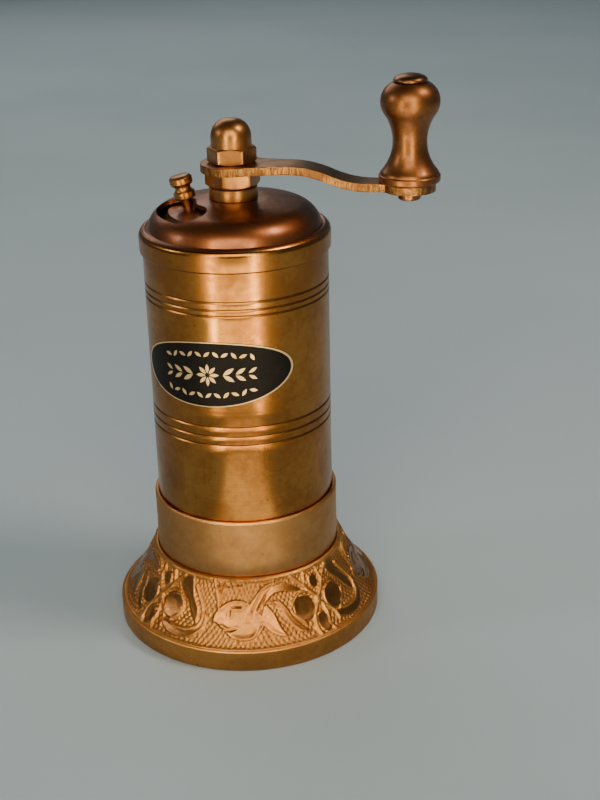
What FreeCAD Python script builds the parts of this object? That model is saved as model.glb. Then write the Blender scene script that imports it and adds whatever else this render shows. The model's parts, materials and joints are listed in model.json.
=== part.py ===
import FreeCAD, Part
import math
import os
import re

import Sketcher

# A brass hand mill for seeds or spice, standing on a cast pedestal.
# Frame: millimetres, +Z up along the mill's axis, origin at the centre of the flat foot,
# -Y towards the front of the mill. Angles are counted from +X, anticlockwise from above.

Vector = FreeCAD.Vector
UP = Vector(0, 0, 1)

doc = FreeCAD.newDocument("HandMill")
sheet = doc.addObject("Spreadsheet::Sheet", "Sizes")

SIZES = [
    ("edge", 0.5, "small chamfer on turned edges"),
    ("fit", 0.05, "radial clearance of a running fit"),
    # pedestal, collar and floor plate
    ("rim_radius", 39.7, "foot rim"),
    ("rim_height", 6.7, "height of the foot rim's upright band"),
    ("skirt_foot", 39.0, "radius where the relief cone starts"),
    ("skirt_top", 28.6, "radius where the relief cone ends"),
    ("skirt_height", 23.3, "height where the relief cone ends"),
    ("skirt_curve", 52.0, "radius of the cone's outward curve"),
    ("lip_radius", 27.9, "bright lip round the collar's foot"),
    ("collar_radius", 27.2, "outside of the socket collar"),
    ("collar_fit", 0.08, "clearance of the tube in the collar"),
    ("collar_foot", 23.0, "underside of the collar"),
    ("collar_top", 41.25, "top of the collar"),
    ("ledge_height", 26.0, "ledge that the tube stands on"),
    ("ledge_radius", 23.8, "inner edge of the ledge"),
    ("throat_height", 21.0, "top of the receptacle's sloping wall"),
    ("cup_radius", 35.3, "receptacle at its floor"),
    ("cup_height", 4.5, "upright part of the receptacle's wall"),
    ("floor_radius", 36.5, "floor plate"),
    ("floor_thickness", 1.2, "floor plate"),
    # body tube and label
    ("tube_radius", 26.0, "outside of the body tube"),
    ("tube_wall", 0.9, "wall of the body tube"),
    ("tube_foot", 26.05, "lower end of the body tube"),
    ("tube_top", 119.4, "upper end of the body tube"),
    ("line_depth", 0.28, "turned decoration lines"),
    ("line_half", 0.38, "half width of a turned line"),
    ("label_thickness", 0.14, "oval label"),
    ("label_half_length", 24.6, "half length, along the tube's surface"),
    ("label_half_height", 9.55, "half height"),
    ("label_height", 85.9, "middle of the label"),
    ("label_angle", 249.5, "middle of the label, round the tube"),
    ("label_slope", 0.044, "rise of the label's long axis"),
    # domed cap
    ("skirt_radius", 26.8, "outside of the cap's skirt"),
    ("cap_foot", 114.7, "lower edge of the cap"),
    ("cap_fit", 26.05, "inside of the cap's skirt"),
    ("bead_radius", 2.4, "rounded shoulder of the skirt"),
    ("bead_height", 121.2, "top of the rounded shoulder"),
    ("bead_inner", 25.2, "inner edge of the shoulder's crown"),
    ("dome_foot", 24.3, "radius of the dome's foot"),
    ("crown_top", 129.0, "top of the dome's crown sphere"),
    ("crown_radius", 85.0, "crown sphere"),
    ("crown_edge", 18.5, "where the crown meets the shoulder"),
    ("shoulder_radius", 7.7, "shoulder of the dome"),
    ("cap_wall", 1.2, "sheet of the dome"),
    ("seat_radius", 9.0, "flat seat for the bush"),
    ("slot_middle", 16.3, "filler slot, radius of its middle line"),
    ("slot_half", 5.1, "filler slot, half its width"),
    ("slot_start", 178.0, "filler slot, start of its middle line"),
    ("slot_end", 221.0, "filler slot, end of its middle line"),
    # bush, spacer and lock nut
    ("boss_radius", 6.75, "bush boss above the dome"),
    ("boss_top", 131.9, "top of the bush boss"),
    ("barrel_radius", 5.4, "threaded barrel of the bush"),
    ("barrel_foot", 121.5, "lower end of the bush"),
    ("spacer_radius", 6.8, "ring that the shutter turns on"),
    ("spacer_height", 1.4, "ring that the shutter turns on"),
    ("lock_flats", 15.0, "bush lock nut, across flats"),
    ("lock_height", 2.8, "bush lock nut"),
    # shutter
    ("shutter_gap", 0.45, "shutter below the dome's sheet"),
    ("shutter_sheet", 0.8, "shutter sheet"),
    ("shutter_bore", 7.0, "shutter's hole round the spacer"),
    ("shutter_hub", 9.9, "full ring of the shutter"),
    ("shutter_edge", 22.3, "outer edge of the shutter"),
    ("shutter_start", 156.0, "shutter's first edge, closed"),
    ("shutter_span", 87.0, "angle that the shutter covers"),
    ("grip_place", 13.2, "shutter knob, distance from the axis"),
    ("grip_angle", 174.5, "shutter knob's angle, closed"),
    ("grip_lean", 11.5, "shutter knob's outward lean in degrees"),
    ("grip_shank", 1.35, "shank through the slot"),
    ("grip_gap", 0.55, "collar of the shutter knob above the dome"),
    ("grip_tail", 2.3, "peened tail under the shutter"),
    ("grip_collar", 2.9, "collar of the shutter knob"),
    ("grip_neck", 1.95, "neck of the shutter knob"),
    ("grip_head", 3.15, "head of the shutter knob"),
    ("grip_height", 7.2, "shutter knob above the dome"),
    ("grip_band", 1.6, "upright band of that collar"),
    ("grip_slope", 1.1, "slope from the collar to the neck"),
    ("grip_cap", 2.6, "height of the head's widest part"),
    ("grip_flare", 0.8, "slope from the neck to the head"),
    ("grip_round", 0.9, "slope of the head's crown"),
    ("grip_peen", 0.63, "thickness of the peened tail"),
    ("grip_slack", 0.12, "tail below the shutter"),
    # shaft and crank
    ("shaft_radius", 4.0, "drive shaft"),
    ("shaft_foot", 25.3, "lower end of the shaft"),
    ("square_side", 5.6, "square that drives the arm"),
    ("stud_radius", 2.9, "threaded end for the acorn nut"),
    ("stud_top", 147.0, "upper end of the shaft"),
    ("seat_flats", 13.5, "seat nut, across flats"),
    ("seat_foot", 132.15, "underside of the seat nut"),
    ("seat_turn", 8.5, "seat nut's turn about the axis"),
    ("arm_top", 138.4, "top of the arm at the hub"),
    ("arm_thick", 2.35, "thickness of the arm"),
    ("arm_drop", 4.4, "how far the knob end lies lower"),
    ("arm_reach", 48.5, "shaft axis to knob axis"),
    ("arm_angle", -13.5, "direction of the arm at rest"),
    ("bend_start", 16.0, "start of the S bend"),
    ("bend_length", 22.0, "length of the S bend"),
    ("hub_radius", 8.7, "round end of the arm at the shaft"),
    ("eye_radius", 7.1, "round end of the arm at the knob"),
    ("arm_waist", 4.6, "arm's half width beside the hub"),
    ("arm_tip", 3.6, "arm's half width beside the knob"),
    ("acorn_flats", 12.0, "acorn nut, across flats"),
    ("acorn_height", 4.4, "hexagon of the acorn nut"),
    ("acorn_dome", 5.6, "dome of the acorn nut"),
    ("acorn_neck", 1.9, "upright part of the dome"),
    ("acorn_turn", -4.5, "acorn nut's turn about the axis"),
    # knob and its rivet
    ("knob_gap", 0.15, "end play of the knob"),
    ("knob_flange", 8.3, "foot flange of the knob"),
    ("flange_height", 2.05, "upright band of the flange"),
    ("knob_height", 26.15, "length of the knob"),
    ("ball_radius", 5.6, "arc of the knob's ball"),
    ("ball_centre", 2.3, "that arc's centre, from the knob's axis"),
    ("ball_height", 21.15, "that arc's centre, above the knob's foot"),
    ("waist_radius", 12.1, "arc of the knob's waist"),
    ("waist_height", 10.85, "that arc's centre, above the knob's foot"),
    ("knob_crown", 4.8, "flat at the top of the ball"),
    ("rivet_radius", 1.6, "shank of the knob's rivet"),
    ("rivet_head", 4.5, "domed head of the rivet"),
    ("rivet_rise", 2.1, "height of that head"),
    ("rivet_foot", 3.1, "closed end of the rivet"),
    ("rivet_drop", 2.5, "height of the closed end"),
    # grinding set
    ("burr_foot", 30.0, "underside of the outer burr"),
    ("burr_top", 42.0, "top of the outer burr"),
    ("burr_mouth", 14.0, "outer burr's bore at its top"),
    ("burr_exit", 17.6, "outer burr's bore at its foot"),
    ("burr_gap", 0.75, "radial gap between the burrs, coarse"),
    ("cone_foot", 29.7, "underside of the inner burr"),
    ("cone_break", 36.0, "where its feed slope starts"),
    ("cone_neck", 38.4, "foot of its neck"),
    ("neck_radius", 8.5, "neck of the inner burr"),
    ("neck_top", 41.0, "top of its neck"),
    ("tooth_size", 1.3, "size of a burr groove"),
    ("pin_radius", 1.1, "cross pin"),
    ("pin_height", 39.7, "cross pin"),
    ("screw_radius", 1.5, "small screws"),
    ("set_height", 36.0, "set screws through the tube"),
    ("set_depth", 4.5, "length of a set screw"),
    ("washer_height", 0.8, "spring seat washer"),
    ("washer_radius", 8.3, "spring seat washer"),
    ("spring_radius", 6.4, "middle of the spring's wire"),
    ("spring_wire", 0.65, "half the wire's thickness"),
    ("spring_pitch", 2.7, "rise of one turn"),
    ("spider_foot", 58.0, "underside of the guide spider"),
    ("spider_sheet", 2.0, "guide spider"),
    ("spider_hub", 7.0, "hub of the guide spider"),
    ("spider_rise", 6.0, "height of that hub"),
    ("window_middle", 16.0, "spider's windows, middle line"),
    ("window_half", 5.6, "spider's windows, half width"),
    ("window_reach", 32.0, "spider's windows, half of their angle"),
    # adjuster and bridge
    ("ball_size", 2.0, "thrust ball"),
    ("ball_place", 24.4, "middle of the thrust ball"),
    ("adjuster_radius", 3.0, "adjuster screw"),
    ("adjuster_tip", 23.4, "upper end of the adjuster screw"),
    ("wheel_radius", 7.5, "thumb wheel of the adjuster"),
    ("wheel_foot", 9.6, "underside of the thumb wheel"),
    ("wheel_top", 13.4, "top of the thumb wheel"),
    ("flute_radius", 1.1, "flutes of the thumb wheel"),
    ("flute_place", 8.0, "middle of a flute, from the axis"),
    ("bridge_foot", 19.6, "underside of the bridge bar"),
    ("bridge_sheet", 2.4, "bridge bar"),
    ("bridge_half", 3.2, "half width of the bridge"),
    ("bridge_hub", 5.6, "hub round the adjuster"),
    ("bridge_drop", 2.8, "how far that hub hangs below the bar"),
    ("leg_inner", 18.6, "inside of the bridge's legs"),
    ("leg_outer", 20.6, "outside of the bridge's legs"),
    ("foot_outer", 24.8, "end of the bridge's feet"),
    ("foot_sheet", 1.6, "bridge's feet"),
    ("bolt_place", 22.8, "bridge screws"),
    ("bolt_head", 1.9, "head of a bridge screw"),
    ("bolt_head_height", 1.5, "head of a bridge screw"),
    ("bolt_grip", 5.0, "thread in the outer burr"),
    ("driver_slot", 0.6, "width and depth of a screwdriver slot"),
]

LINE_HEIGHTS = [64.8, 67.4, 70.25, 102.7, 104.4, 106.55]
BURR_GROOVES = 20
CONE_GROOVES = 14
SET_SCREWS = 3
SPIDER_WINDOWS = 3
WHEEL_FLUTES = 14
LABEL_POINTS = 48
CORNER_SLOPE = 11

for row, (alias, size, note) in enumerate(SIZES, start=1):
    sheet.set(f"A{row}", note)
    sheet.set(f"B{row}", str(size))
    sheet.setAlias(f"B{row}", alias)
for row, height in enumerate(LINE_HEIGHTS, start=1):
    sheet.set(f"D{row}", str(height))
    sheet.setAlias(f"D{row}", f"line_{'abcdef'[row - 1]}")
doc.recompute()
ALIASES = {alias for alias, size, note in SIZES} | {f"line_{letter}" for letter in "abcdef"}
NODES = []


def value(expression):
    """The number that an expression over the sheet gives."""
    return float(sheet.evalExpression(str(expression)))


def bind(target, name, expression):
    """Bind one property of an object to an expression over the sheet."""
    def cell(match):
        return "Sizes." + match.group() if match.group() in ALIASES else match.group()
    target.setExpression(name, re.sub(r"[A-Za-z_]\w*", cell, str(expression)))


def node(target, name):
    """Name an object as one of the mill's pieces."""
    target.Label = name
    NODES.append(target)
    return target


def origin_plane(body, role):
    """One of a body's own origin planes."""
    return next(item for item in body.Origin.OriginFeatures if item.Role == role)


def arc_between(first, last, radius):
    """An arc from first to last; a positive radius bulges to the left of the way from first.

    The arc itself always runs anticlockwise, so it may start at last.
    """
    chord = last - first
    half = chord.Length / 2
    left = Vector(-chord.y, chord.x, 0).normalize()
    reach = math.sqrt(radius * radius - half * half)
    centre = (first + last) / 2 - left * math.copysign(reach, radius)
    low, high = (last, first) if radius > 0 else (first, last)
    angles = [math.atan2(point.y - centre.y, point.x - centre.x) for point in (low, high)]
    if angles[1] < angles[0]:
        angles[1] += 2 * math.pi
    return Part.ArcOfCircle(Part.Circle(centre, UP, abs(radius)), *angles)


def closed_sketch(body, role, points, bends=None):
    """A closed outline on one of a body's origin planes.

    points are pairs of expressions. bends gives some sides a radius: side i leaves point i,
    and a minus sign in front of the radius turns its bulge to the right.
    """
    bends = bends or {}
    sketch = body.newObject("Sketcher::SketchObject", body.Name + "_outline")
    sketch.AttachmentSupport = [(origin_plane(body, role), "")]
    sketch.MapMode = "FlatFace"
    places = [Vector(value(across), value(along), 0) for across, along in points]
    count = len(places)
    starts = []
    ends = []
    for side, place in enumerate(places):
        target = places[(side + 1) % count]
        if side in bends:
            radius = value(bends[side])
            index = sketch.addGeometry(arc_between(place, target, radius), False)
            starts.append((index, 2 if radius > 0 else 1))
            ends.append((index, 1 if radius > 0 else 2))
        else:
            index = sketch.addGeometry(Part.LineSegment(place, target), False)
            starts.append((index, 1))
            ends.append((index, 2))
    for side in range(count):
        following = (side + 1) % count
        sketch.addConstraint(Sketcher.Constraint("Coincident", *ends[side], *starts[following]))
    for side, (across, along) in enumerate(points):
        for kind, axis, text, size in (
            ("DistanceX", -2, across, places[side].x),
            ("DistanceY", -1, along, places[side].y),
        ):
            if abs(size) < 1e-9:
                sketch.addConstraint(Sketcher.Constraint("PointOnObject", *starts[side], axis))
            else:
                made = sketch.addConstraint(Sketcher.Constraint(kind, -1, 1, *starts[side], size))
                bind(sketch, f"Constraints[{made}]", text)
    for side, radius in bends.items():
        size = abs(value(radius))
        made = sketch.addConstraint(Sketcher.Constraint("Radius", starts[side][0], size))
        bind(sketch, f"Constraints[{made}]", str(radius).lstrip("-"))
    return sketch


def turned(name, points, bends=None, span="360"):
    """A body turned about the Z axis of its own frame; points are (radius, height)."""
    body = doc.addObject("PartDesign::Body", name)
    sketch = closed_sketch(body, "XZ_Plane", points, bends)
    turn = body.newObject("PartDesign::Revolution", name + "_turned")
    turn.Profile = sketch
    turn.ReferenceAxis = (sketch, ["V_Axis"])
    bind(turn, "Angle", span)
    return body


def at(target, across=0, back=0, height=0, turn=0):
    """Place an object, turned about Z by some degrees first; arguments are expressions."""
    spot = Vector(value(across), value(back), value(height))
    target.Placement = FreeCAD.Placement(spot, FreeCAD.Rotation(UP, value(turn)))
    return target


def cylinder(name, radius, foot, top, across=0, back=0, span=None, turn=0):
    """An upright cylinder, or a sector of one."""
    made = doc.addObject("Part::Cylinder", name)
    bind(made, "Radius", radius)
    bind(made, "Height", f"{top} - ({foot})")
    if span is not None:
        bind(made, "Angle", span)
    return at(made, across, back, foot, turn)


def bar(name, low, high):
    """A box between two corners, each three expressions."""
    made = doc.addObject("Part::Box", name)
    for side, first, last in zip(("Length", "Width", "Height"), low, high):
        bind(made, side, f"{last} - ({first})")
    return at(made, *low)


def fused(name, pieces):
    """Several solids made one."""
    made = doc.addObject("Part::MultiFuse", name)
    made.Shapes = pieces
    return made


def grouped(name, pieces):
    """Several separate solids kept in one object."""
    made = doc.addObject("Part::Compound", name)
    made.Links = pieces
    return made


def cut(name, base, tool):
    """One solid with another taken out of it."""
    made = doc.addObject("Part::Cut", name)
    made.Base = base
    made.Tool = tool
    return made


def shared(name, base, tool):
    """What two solids have in common."""
    made = doc.addObject("Part::Common", name)
    made.Base = base
    made.Tool = tool
    return made


def kidney(name, middle, half, foot, top, start, end):
    """A solid kidney: a ring's sector with round ends."""
    span = f"{end} - ({start})"
    outer = cylinder(name + "_outer", f"{middle} + {half}", foot, top, 0, 0, span, start)
    inner = cylinder(name + "_inner", f"{middle} - {half}", foot, top)
    ends = []
    for side, angle in (("start", value(start)), ("end", value(end))):
        across = value(middle) * math.cos(math.radians(angle))
        back = value(middle) * math.sin(math.radians(angle))
        ends.append(cylinder(f"{name}_{side}", half, foot, top, across, back))
    return fused(name, [cut(name + "_sector", outer, inner)] + ends)


def hexagon(name, flats, foot, top, turn, low_chamfer, high_chamfer):
    """A hexagonal blank whose corners are turned off at its foot, its top or both.

    CORNER_SLOPE sets how steep the turned corners are.
    """
    prism = doc.addObject("Part::Prism", name + "_prism")
    prism.Polygon = 6
    bind(prism, "Circumradius", f"{flats} / 2 / cos(30)")
    bind(prism, "Height", f"{top} - ({foot})")
    at(prism, 0, 0, foot, turn)
    face = f"{flats} / 2 - edge / 4"
    corner = f"{flats} / 2 / cos(30) + edge / 4"
    slope = f"{flats} / {CORNER_SLOPE}"
    points = [("0", foot)]
    points += [(face, foot), (corner, f"{foot} + {slope}")] if low_chamfer else [(corner, foot)]
    points += [(corner, f"{top} - {slope}"), (face, top)] if high_chamfer else [(corner, top)]
    points += [("0", top)]
    return shared(name, prism, turned(name + "_envelope", points))


def round_the_axis(name, count, make):
    """Several pieces spaced evenly round the axis; make(label, angle) builds one."""
    return [make(f"{name}_{index}", 360 * index / count) for index in range(count)]


def radial_pin(name, radius, start, end, height, angle):
    """A cylinder lying along a radius."""
    made = doc.addObject("Part::Cylinder", name)
    bind(made, "Radius", radius)
    bind(made, "Height", f"{end} - ({start})")
    out = Vector(math.cos(math.radians(angle)), math.sin(math.radians(angle)), 0)
    spot = out * value(start) + UP * value(height)
    made.Placement = FreeCAD.Placement(spot, FreeCAD.Rotation(UP, out))
    return made


# Points of the domed sheet, at some depth below its outer face. The crown is part of a
# sphere, and the shoulder is an arc that leaves it smoothly.

def crown_point(depth, radius):
    """A point of the crown at a given distance from the axis."""
    return (radius, f"crown_top - crown_radius + sqrt((crown_radius - ({depth}))^2 - ({radius})^2)")


def joint_point(depth):
    """Where crown and shoulder meet."""
    return crown_point(depth, f"crown_edge * (1 - ({depth}) / crown_radius)")


SHOULDER_ACROSS = "crown_edge * (1 - shoulder_radius / crown_radius)"
SHOULDER_HEIGHT = (
    "(crown_top - crown_radius"
    " + (crown_radius - shoulder_radius) * sqrt(1 - (crown_edge / crown_radius)^2))"
)


def shoulder_point(depth, radius):
    """A point of the shoulder at a given distance from the axis."""
    rise = f"sqrt((shoulder_radius - ({depth}))^2 - ({radius} - {SHOULDER_ACROSS})^2)"
    return (radius, f"{SHOULDER_HEIGHT} + {rise}")


# ---------------------------------------------------------------- pedestal

def make_pedestal():
    points = [
        ("floor_radius", "0"),
        ("rim_radius - edge", "0"),
        ("rim_radius", "edge"),
        ("rim_radius", "rim_height - edge"),
        ("skirt_foot", "rim_height"),
        ("skirt_top", "skirt_height"),
        ("lip_radius", "skirt_height + edge"),
        ("collar_radius + edge / 2", "skirt_height + edge"),
        ("collar_radius", "skirt_height"),
        ("collar_radius", "collar_foot"),
        ("tube_radius", "collar_foot"),
        ("tube_radius", "ledge_height"),
        ("ledge_radius", "ledge_height"),
        ("ledge_radius", "throat_height"),
        ("cup_radius", "cup_height"),
        ("cup_radius", "floor_thickness"),
        ("floor_radius", "floor_thickness"),
    ]
    return node(turned("pedestal", points, {4: "-skirt_curve"}), "pedestal_base")


def make_collar():
    inner = "tube_radius + collar_fit"
    points = [
        (inner, "collar_foot"),
        ("collar_radius", "collar_foot"),
        ("collar_radius", "collar_top - edge / 2"),
        ("collar_radius - edge / 2", "collar_top"),
        (f"{inner} + edge / 4", "collar_top"),
        (inner, "collar_top - edge / 2"),
    ]
    return node(turned("collar", points), "socket_collar")


def make_floor_plate():
    return node(cylinder("floor", "floor_radius", "0", "floor_thickness"), "base_floor_plate")


# ---------------------------------------------------------------- body tube and label

def set_screw_pins(name, start, end):
    return round_the_axis(
        name, SET_SCREWS,
        lambda label, angle: radial_pin(label, "screw_radius", start, end, "set_height", angle + 30),
    )


def make_tube():
    outline = [("tube_radius - tube_wall", "tube_foot"), ("tube_radius", "tube_foot")]
    for letter in "abcdef":
        outline += [
            ("tube_radius", f"line_{letter} - line_half"),
            ("tube_radius - line_depth", f"line_{letter}"),
            ("tube_radius", f"line_{letter} + line_half"),
        ]
    outline += [("tube_radius", "tube_top"), ("tube_radius - tube_wall", "tube_top")]
    pins = set_screw_pins("tube_hole", "tube_radius - 2 * tube_wall", "tube_radius + 1")
    holes = grouped("tube_holes", pins)
    return node(cut("tube", turned("tube_blank", outline), holes), "body_tube")


def make_label():
    """A thin oval skin, bent round the tube and slightly tilted."""
    radius = value("tube_radius")
    length = value("label_half_length")
    rise = value("label_half_height")
    slope = value("label_slope")
    outline = []
    for point in range(LABEL_POINTS):
        turn = 2 * math.pi * point / LABEL_POINTS
        along = length * math.cos(turn)
        outline.append(Vector(
            radius * math.sin(along / radius),
            0,
            value("label_height") + rise * math.sin(turn) + slope * along,
        ))
    curve = Part.BSplineCurve()
    curve.interpolate(outline, PeriodicFlag=True)
    face = Part.Face(Part.Wire([curve.toShape()]))
    prism = face.extrude(Vector(0, -2 * radius, 0))
    foot = value("label_height - 2 * label_half_height")
    height = value("4 * label_half_height")
    sleeve = Part.makeCylinder(radius + value("label_thickness"), height, Vector(0, 0, foot))
    sleeve = sleeve.cut(Part.makeCylinder(radius, height, Vector(0, 0, foot)))
    made = doc.addObject("Part::Feature", "label")
    made.Shape = prism.common(sleeve).Solids[0]
    made.Placement = FreeCAD.Placement(Vector(), FreeCAD.Rotation(UP, value("label_angle") - 270))
    return node(made, "oval_label")


# ---------------------------------------------------------------- cap, bush and shutter

def make_cap():
    outline = [
        ("cap_fit", "cap_foot"),
        ("skirt_radius - edge", "cap_foot"),
        ("skirt_radius", "cap_foot + edge"),
        ("skirt_radius", "bead_height - bead_radius"),
        ("bead_inner", "bead_height"),
        ("dome_foot + edge / 2", "bead_height - edge / 2"),
        shoulder_point("0", "dome_foot"),
        joint_point("0"),
        crown_point("0", "seat_radius"),
        ("barrel_radius + fit", crown_point("0", "seat_radius")[1]),
        ("barrel_radius + fit", crown_point("cap_wall", "seat_radius")[1]),
        crown_point("cap_wall", "seat_radius"),
        joint_point("cap_wall"),
        shoulder_point("cap_wall", "dome_foot - cap_wall"),
        ("dome_foot - cap_wall", "tube_top + cap_wall"),
        ("tube_radius - tube_wall", "tube_top"),
        ("cap_fit", "tube_top"),
    ]
    bends = {
        3: "-bead_radius",
        6: "-shoulder_radius",
        7: "-crown_radius",
        11: "crown_radius - cap_wall",
        12: "shoulder_radius - cap_wall",
    }
    slot = kidney("slot", "slot_middle", "slot_half", "cap_foot", "crown_top + 5", "slot_start", "slot_end")
    return node(cut("cap", turned("cap_blank", outline, bends), slot), "dome_cap")


SEAT_TOP = crown_point("0", "seat_radius")[1]
SEAT_FOOT = crown_point("cap_wall", "seat_radius")[1]
SPACER_FOOT = f"{SEAT_FOOT} - spacer_height"


def make_bush():
    points = [
        ("shaft_radius + fit", "barrel_foot"),
        ("barrel_radius - edge", "barrel_foot"),
        ("barrel_radius", "barrel_foot + edge"),
        ("barrel_radius", SEAT_TOP),
        ("boss_radius", SEAT_TOP),
        ("boss_radius", "boss_top - edge / 2"),
        ("boss_radius - edge / 2", "boss_top"),
        ("shaft_radius + fit", "boss_top"),
    ]
    return node(turned("bush", points), "top_bush")


def make_spacer():
    points = [
        ("barrel_radius", SPACER_FOOT),
        ("spacer_radius", SPACER_FOOT),
        ("spacer_radius", SEAT_FOOT),
        ("barrel_radius", SEAT_FOOT),
    ]
    return node(turned("spacer", points), "shutter_spacer")


def make_lock_nut():
    foot = f"{SPACER_FOOT} - lock_height"
    blank = hexagon("lock", "lock_flats", foot, SPACER_FOOT, 0, True, True)
    bore = cylinder("lock_bore", "barrel_radius", "barrel_foot", "boss_top")
    return node(cut("lock_nut", blank, bore), "bush_lock_nut")


def make_shutter():
    """A sheet that follows the dome's inside, as a full ring at its hub and a sector outside."""
    top = "cap_wall + shutter_gap"
    low = "cap_wall + shutter_gap + shutter_sheet"
    ring_points = [
        ("shutter_bore", crown_point(low, "seat_radius")[1]),
        ("shutter_hub", crown_point(low, "seat_radius")[1]),
        ("shutter_hub", crown_point(top, "shutter_hub")[1]),
        crown_point(top, "seat_radius"),
        ("shutter_bore", crown_point(top, "seat_radius")[1]),
    ]
    ring = turned("shutter_ring", ring_points)
    sector_points = [
        crown_point(low, "seat_radius"),
        joint_point(low),
        shoulder_point(low, "shutter_edge - shutter_sheet"),
        shoulder_point(top, "shutter_edge"),
        joint_point(top),
        crown_point(top, "seat_radius"),
    ]
    bends = {
        0: "-(crown_radius - cap_wall - shutter_gap - shutter_sheet)",
        1: "-(shoulder_radius - cap_wall - shutter_gap - shutter_sheet)",
        3: "shoulder_radius - cap_wall - shutter_gap",
        4: "crown_radius - cap_wall - shutter_gap",
    }
    sector = at(turned("shutter_sector", sector_points, bends, "shutter_span"), turn="shutter_start")
    blank = fused("shutter_blank", [ring, sector])
    hole = lean(cylinder("shutter_hole", "grip_shank", "0", "10"), "-10")
    return node(cut("shutter", blank, hole), "shutter_plate")


def lean(target, height):
    """Stand a piece on the shutter knob's own axis, at a height above the dome's face."""
    angle = math.radians(value("grip_angle"))
    out = Vector(math.cos(angle), math.sin(angle), 0)
    tilt = math.radians(value("grip_lean"))
    axis = out * math.sin(tilt) + UP * math.cos(tilt)
    foot = out * value("grip_place") + UP * value(crown_point("0", "grip_place")[1])
    target.Placement = FreeCAD.Placement(foot + axis * value(height), FreeCAD.Rotation(UP, axis))
    return target


def make_shutter_knob():
    """The knob that stands through the slot; its tail is peened over the shutter."""
    rivet = "-(cap_wall + shutter_gap + shutter_sheet + grip_slack)"
    tail = f"{rivet} - grip_peen"
    points = [
        ("0", tail),
        ("grip_tail - edge", tail),
        ("grip_tail", rivet),
        ("grip_shank", rivet),
        ("grip_shank", "grip_gap"),
        ("grip_collar", "grip_gap"),
        ("grip_collar", "grip_gap + grip_band"),
        ("grip_neck", "grip_gap + grip_band + grip_slope"),
        ("grip_neck", "grip_height - grip_cap - grip_flare"),
        ("grip_head", "grip_height - grip_cap"),
        ("grip_head", "grip_height - edge"),
        ("grip_head - grip_round", "grip_height"),
        ("0", "grip_height"),
    ]
    return node(lean(turned("grip", points), "0"), "shutter_knob")


# ---------------------------------------------------------------- shaft and crank

def make_shaft():
    round_part = cylinder("shaft_round", "shaft_radius", "shaft_foot", "arm_top - arm_thick")
    half = "square_side / 2"
    low = (f"-({half})", f"-({half})", "arm_top - arm_thick")
    square = bar("shaft_square", low, (half, half, "arm_top"))
    turn = FreeCAD.Placement(Vector(), FreeCAD.Rotation(UP, value("arm_angle")))
    square.Placement = turn.multiply(square.Placement)
    stud = cylinder("shaft_stud", "stud_radius", "arm_top", "stud_top")
    cup = doc.addObject("Part::Sphere", "shaft_cup")
    bind(cup, "Radius", "ball_size + fit")
    at(cup, height="ball_place")
    hole = radial_pin("shaft_hole", "pin_radius", "-10", "10", "pin_height", 0)
    blank = fused("shaft_blank", [round_part, square, stud])
    return node(cut("shaft", blank, grouped("shaft_cuts", [cup, hole])), "drive_shaft")


def make_seat_nut():
    blank = hexagon("seat", "seat_flats", "seat_foot", "arm_top - arm_thick", "seat_turn", True, False)
    bore = cylinder("seat_bore", "shaft_radius", "barrel_foot", "arm_top")
    return node(cut("seat_nut_cut", blank, bore), "seat_nut")


def arm_side():
    """The arm seen from the side: two level ends joined by an S bend of two equal arcs."""
    drop = value("arm_drop")
    length = value("bend_length")
    turn = 2 * math.atan(drop / length)
    radius = f"(bend_length / 2 / {math.sin(turn):.6f})"
    start = "bend_start"
    end = "bend_start + bend_length"
    tilt_across = f"arm_thick / 2 * {math.sin(turn):.6f}"
    tilt_along = f"arm_thick / 2 * {math.cos(turn):.6f}"
    middle = "bend_start + bend_length / 2"
    level = "arm_top - arm_thick / 2"
    half = "arm_thick / 2"
    points = [
        ("-hub_radius - 1", f"{level} - {half}"),
        (start, f"{level} - {half}"),
        (f"{middle} - {tilt_across}", f"{level} - arm_drop / 2 - {tilt_along}"),
        (end, f"{level} - arm_drop - {half}"),
        ("arm_reach + eye_radius + 1", f"{level} - arm_drop - {half}"),
        ("arm_reach + eye_radius + 1", f"{level} - arm_drop + {half}"),
        (end, f"{level} - arm_drop + {half}"),
        (f"{middle} + {tilt_across}", f"{level} - arm_drop / 2 + {tilt_along}"),
        (start, f"{level} + {half}"),
        ("-hub_radius - 1", f"{level} + {half}"),
    ]
    bends = {
        1: f"{radius} - {half}",
        2: f"-({radius} + {half})",
        6: f"{radius} - {half}",
        7: f"-({radius} + {half})",
    }
    body = doc.addObject("PartDesign::Body", "arm_side")
    pad = body.newObject("PartDesign::Pad", "arm_side_pad")
    pad.Profile = closed_sketch(body, "XZ_Plane", points, bends)
    pad.Midplane = True
    bind(pad, "Length", "4 * hub_radius")
    return body


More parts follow.
